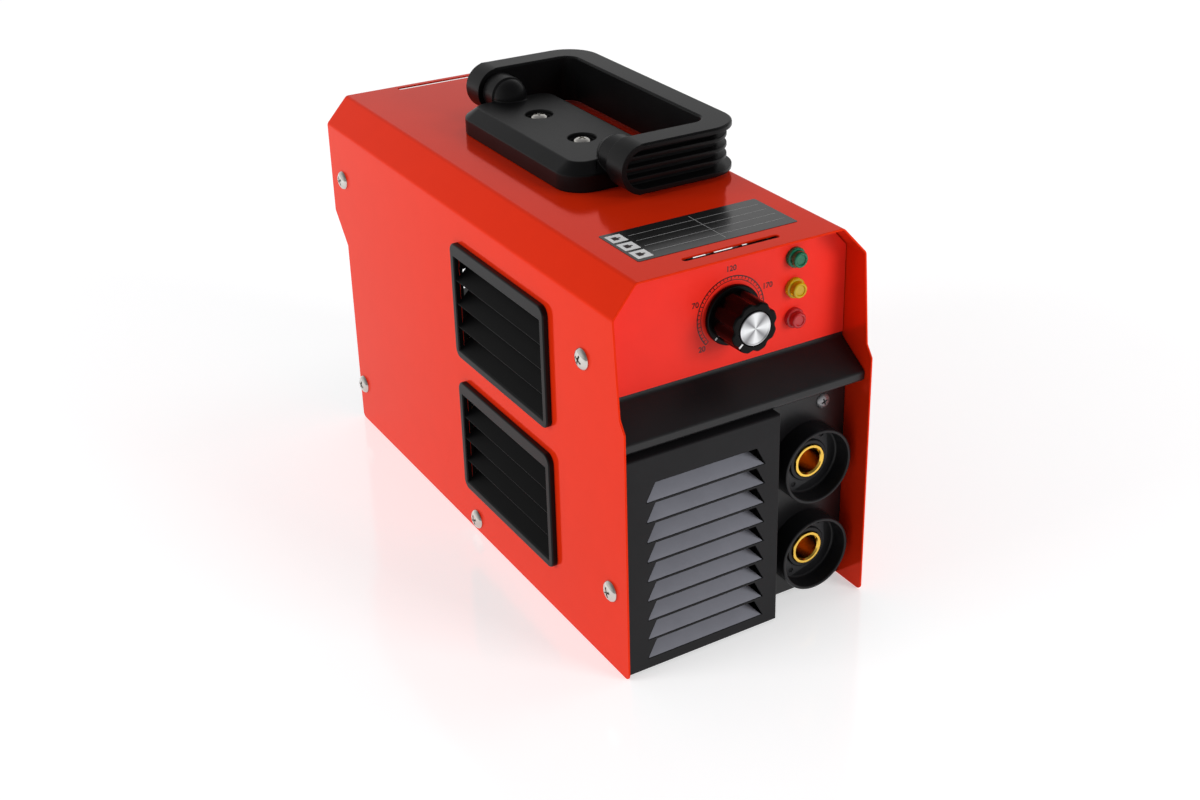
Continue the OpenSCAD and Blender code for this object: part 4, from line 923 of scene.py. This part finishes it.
def make_choke_winding():
    """Round wire wound through the toroid, one closed turn at each place."""
    middle = centre_of("choke_winding")
    bore_side, outer_side, end = 7.9, 19.1, 10.1
    turns, first, wire_r, sides = 10, 0.16, 1.0, 10
    outline = fillet([(bore_side, -end), (outer_side, -end), (outer_side, end), (bore_side, end)],
                     2.0, 4, closed=True)
    count = len(outline)
    section = [(wire_r * math.cos(TAU * s / sides), wire_r * math.sin(TAU * s / sides)) for s in range(sides)]
    bm = bmesh.new()
    for k in range(turns):
        place = at(REAR, *middle) @ Matrix.Rotation(TAU * k / turns + first, 4, "Z")
        rings = []
        for i, (x, y) in enumerate(outline):
            ahead = Vector(outline[(i + 1) % count]) - Vector(outline[i - 1])
            out = Vector((ahead.y, -ahead.x)).normalized()
            rings.append([bm.verts.new(place @ Vector(((x + out.x * u) * MM, v * MM, (y + out.y * u) * MM)))
                          for u, v in section])
        for i in range(count):
            ring, following = rings[i], rings[(i + 1) % count]
            for s in range(sides):
                t = (s + 1) % sides
                bm.faces.new((ring[s], ring[t], following[t], following[s]))
    add_piece("choke_winding_turns", bm, "copper", stands_for=("choke_winding",))


# ---------------------------------------------------------------- stage, lights, camera

def make_floor():
    """A plain pale floor, just below the object."""
    size, steps, below = 9.0, 24, 0.2 * MM
    bm = bmesh.new()
    grid = [[bm.verts.new((-size / 2 + size * i / steps, -size / 2 + size * j / steps, -below))
             for j in range(steps + 1)] for i in range(steps + 1)]
    for i in range(steps):
        for j in range(steps):
            bm.faces.new((grid[i][j], grid[i + 1][j], grid[i + 1][j + 1], grid[i][j + 1]))
    mesh = bpy.data.meshes.new("floor")
    bm.to_mesh(mesh)
    bm.free()
    mesh.materials.append(surface("floor_acrylic", *FLOOR_LOOK))
    floor = bpy.data.objects.new("floor", mesh)
    bpy.context.scene.collection.objects.link(floor)


def area_light(name, place, side, power):
    """A square soft light aimed at the casing, which the glossy surfaces don't mirror."""
    aim = Vector((0, 0, 0.1))
    data = bpy.data.lights.new(name, "AREA")
    data.shape, data.size, data.size_y, data.energy = "RECTANGLE", side, side, power
    light = bpy.data.objects.new(name, data)
    light.location = place
    light.rotation_euler = (aim - Vector(place)).to_track_quat("-Z", "Y").to_euler()
    light.visible_glossy = False
    bpy.context.scene.collection.objects.link(light)


def make_lights():
    """A pale room, dimmer overhead and towards the front, and three soft lights."""
    world = bpy.data.worlds.new("studio")
    bpy.context.scene.world = world
    world.use_nodes = True
    tree = world.node_tree
    coordinates = tree.nodes.new("ShaderNodeTexCoord")
    axes = tree.nodes.new("ShaderNodeSeparateXYZ")
    ramp = tree.nodes.new("ShaderNodeValToRGB")
    first, last = ramp.color_ramp.elements
    first.position, last.position = 0.30, 0.85
    first.color, last.color = (1, 1, 1, 1), (0.34, 0.34, 0.35, 1)
    strength = tree.nodes.new("ShaderNodeMapRange")
    for socket, value in (("From Min", -0.7), ("From Max", 0.3), ("To Min", 0.30), ("To Max", 0.80)):
        strength.inputs[socket].default_value = value
    tree.links.new(coordinates.outputs["Generated"], axes.inputs["Vector"])
    tree.links.new(axes.outputs["Z"], ramp.inputs["Fac"])
    tree.links.new(axes.outputs["Y"], strength.inputs["Value"])
    tree.links.new(ramp.outputs["Color"], tree.nodes["Background"].inputs["Color"])
    tree.links.new(strength.outputs["Result"], tree.nodes["Background"].inputs["Strength"])
    area_light("left", (-1.8, 0.3, 0.9), 0.9, 18)
    area_light("right_front", (0.9, -1.7, 0.75), 0.8, 20)
    area_light("top", (0.8, -0.2, 1.5), 0.5, 2)


def make_camera():
    """A view down on the front left corner, very slightly rolled, from a fit of the casing's corners."""
    place = (-0.39541, -0.71626, 0.48991)
    turn, lift, roll = math.radians(-32.34), math.radians(24.79), math.radians(-0.42)
    ahead = Vector((-math.sin(turn) * math.cos(lift), math.cos(turn) * math.cos(lift), -math.sin(lift)))
    side = ahead.cross(Vector((0, 0, 1))).normalized()
    above = side.cross(ahead)
    right = math.cos(roll) * side + math.sin(roll) * above
    top = -math.sin(roll) * side + math.cos(roll) * above
    data = bpy.data.cameras.new("camera")
    camera = bpy.data.objects.new("camera", data)
    camera.matrix_world = Matrix.Translation(place) @ Matrix((right, top, -ahead)).transposed().to_4x4()
    data.sensor_width = 36
    data.lens = 49.75
    data.shift_x, data.shift_y = -0.0564, -0.0761
    data.dof.use_dof = False
    data.clip_start, data.clip_end = 0.01, 50
    bpy.context.scene.collection.objects.link(camera)
    bpy.context.scene.camera = camera


make_camera()
make_floor()
make_lights()
make_casing()
make_screws()
make_handle()
make_knob()
make_dial()
make_lamps()
make_sockets()
make_label()
make_rear()
make_electronics()
bpy.context.scene.view_settings.view_transform = "Standard"
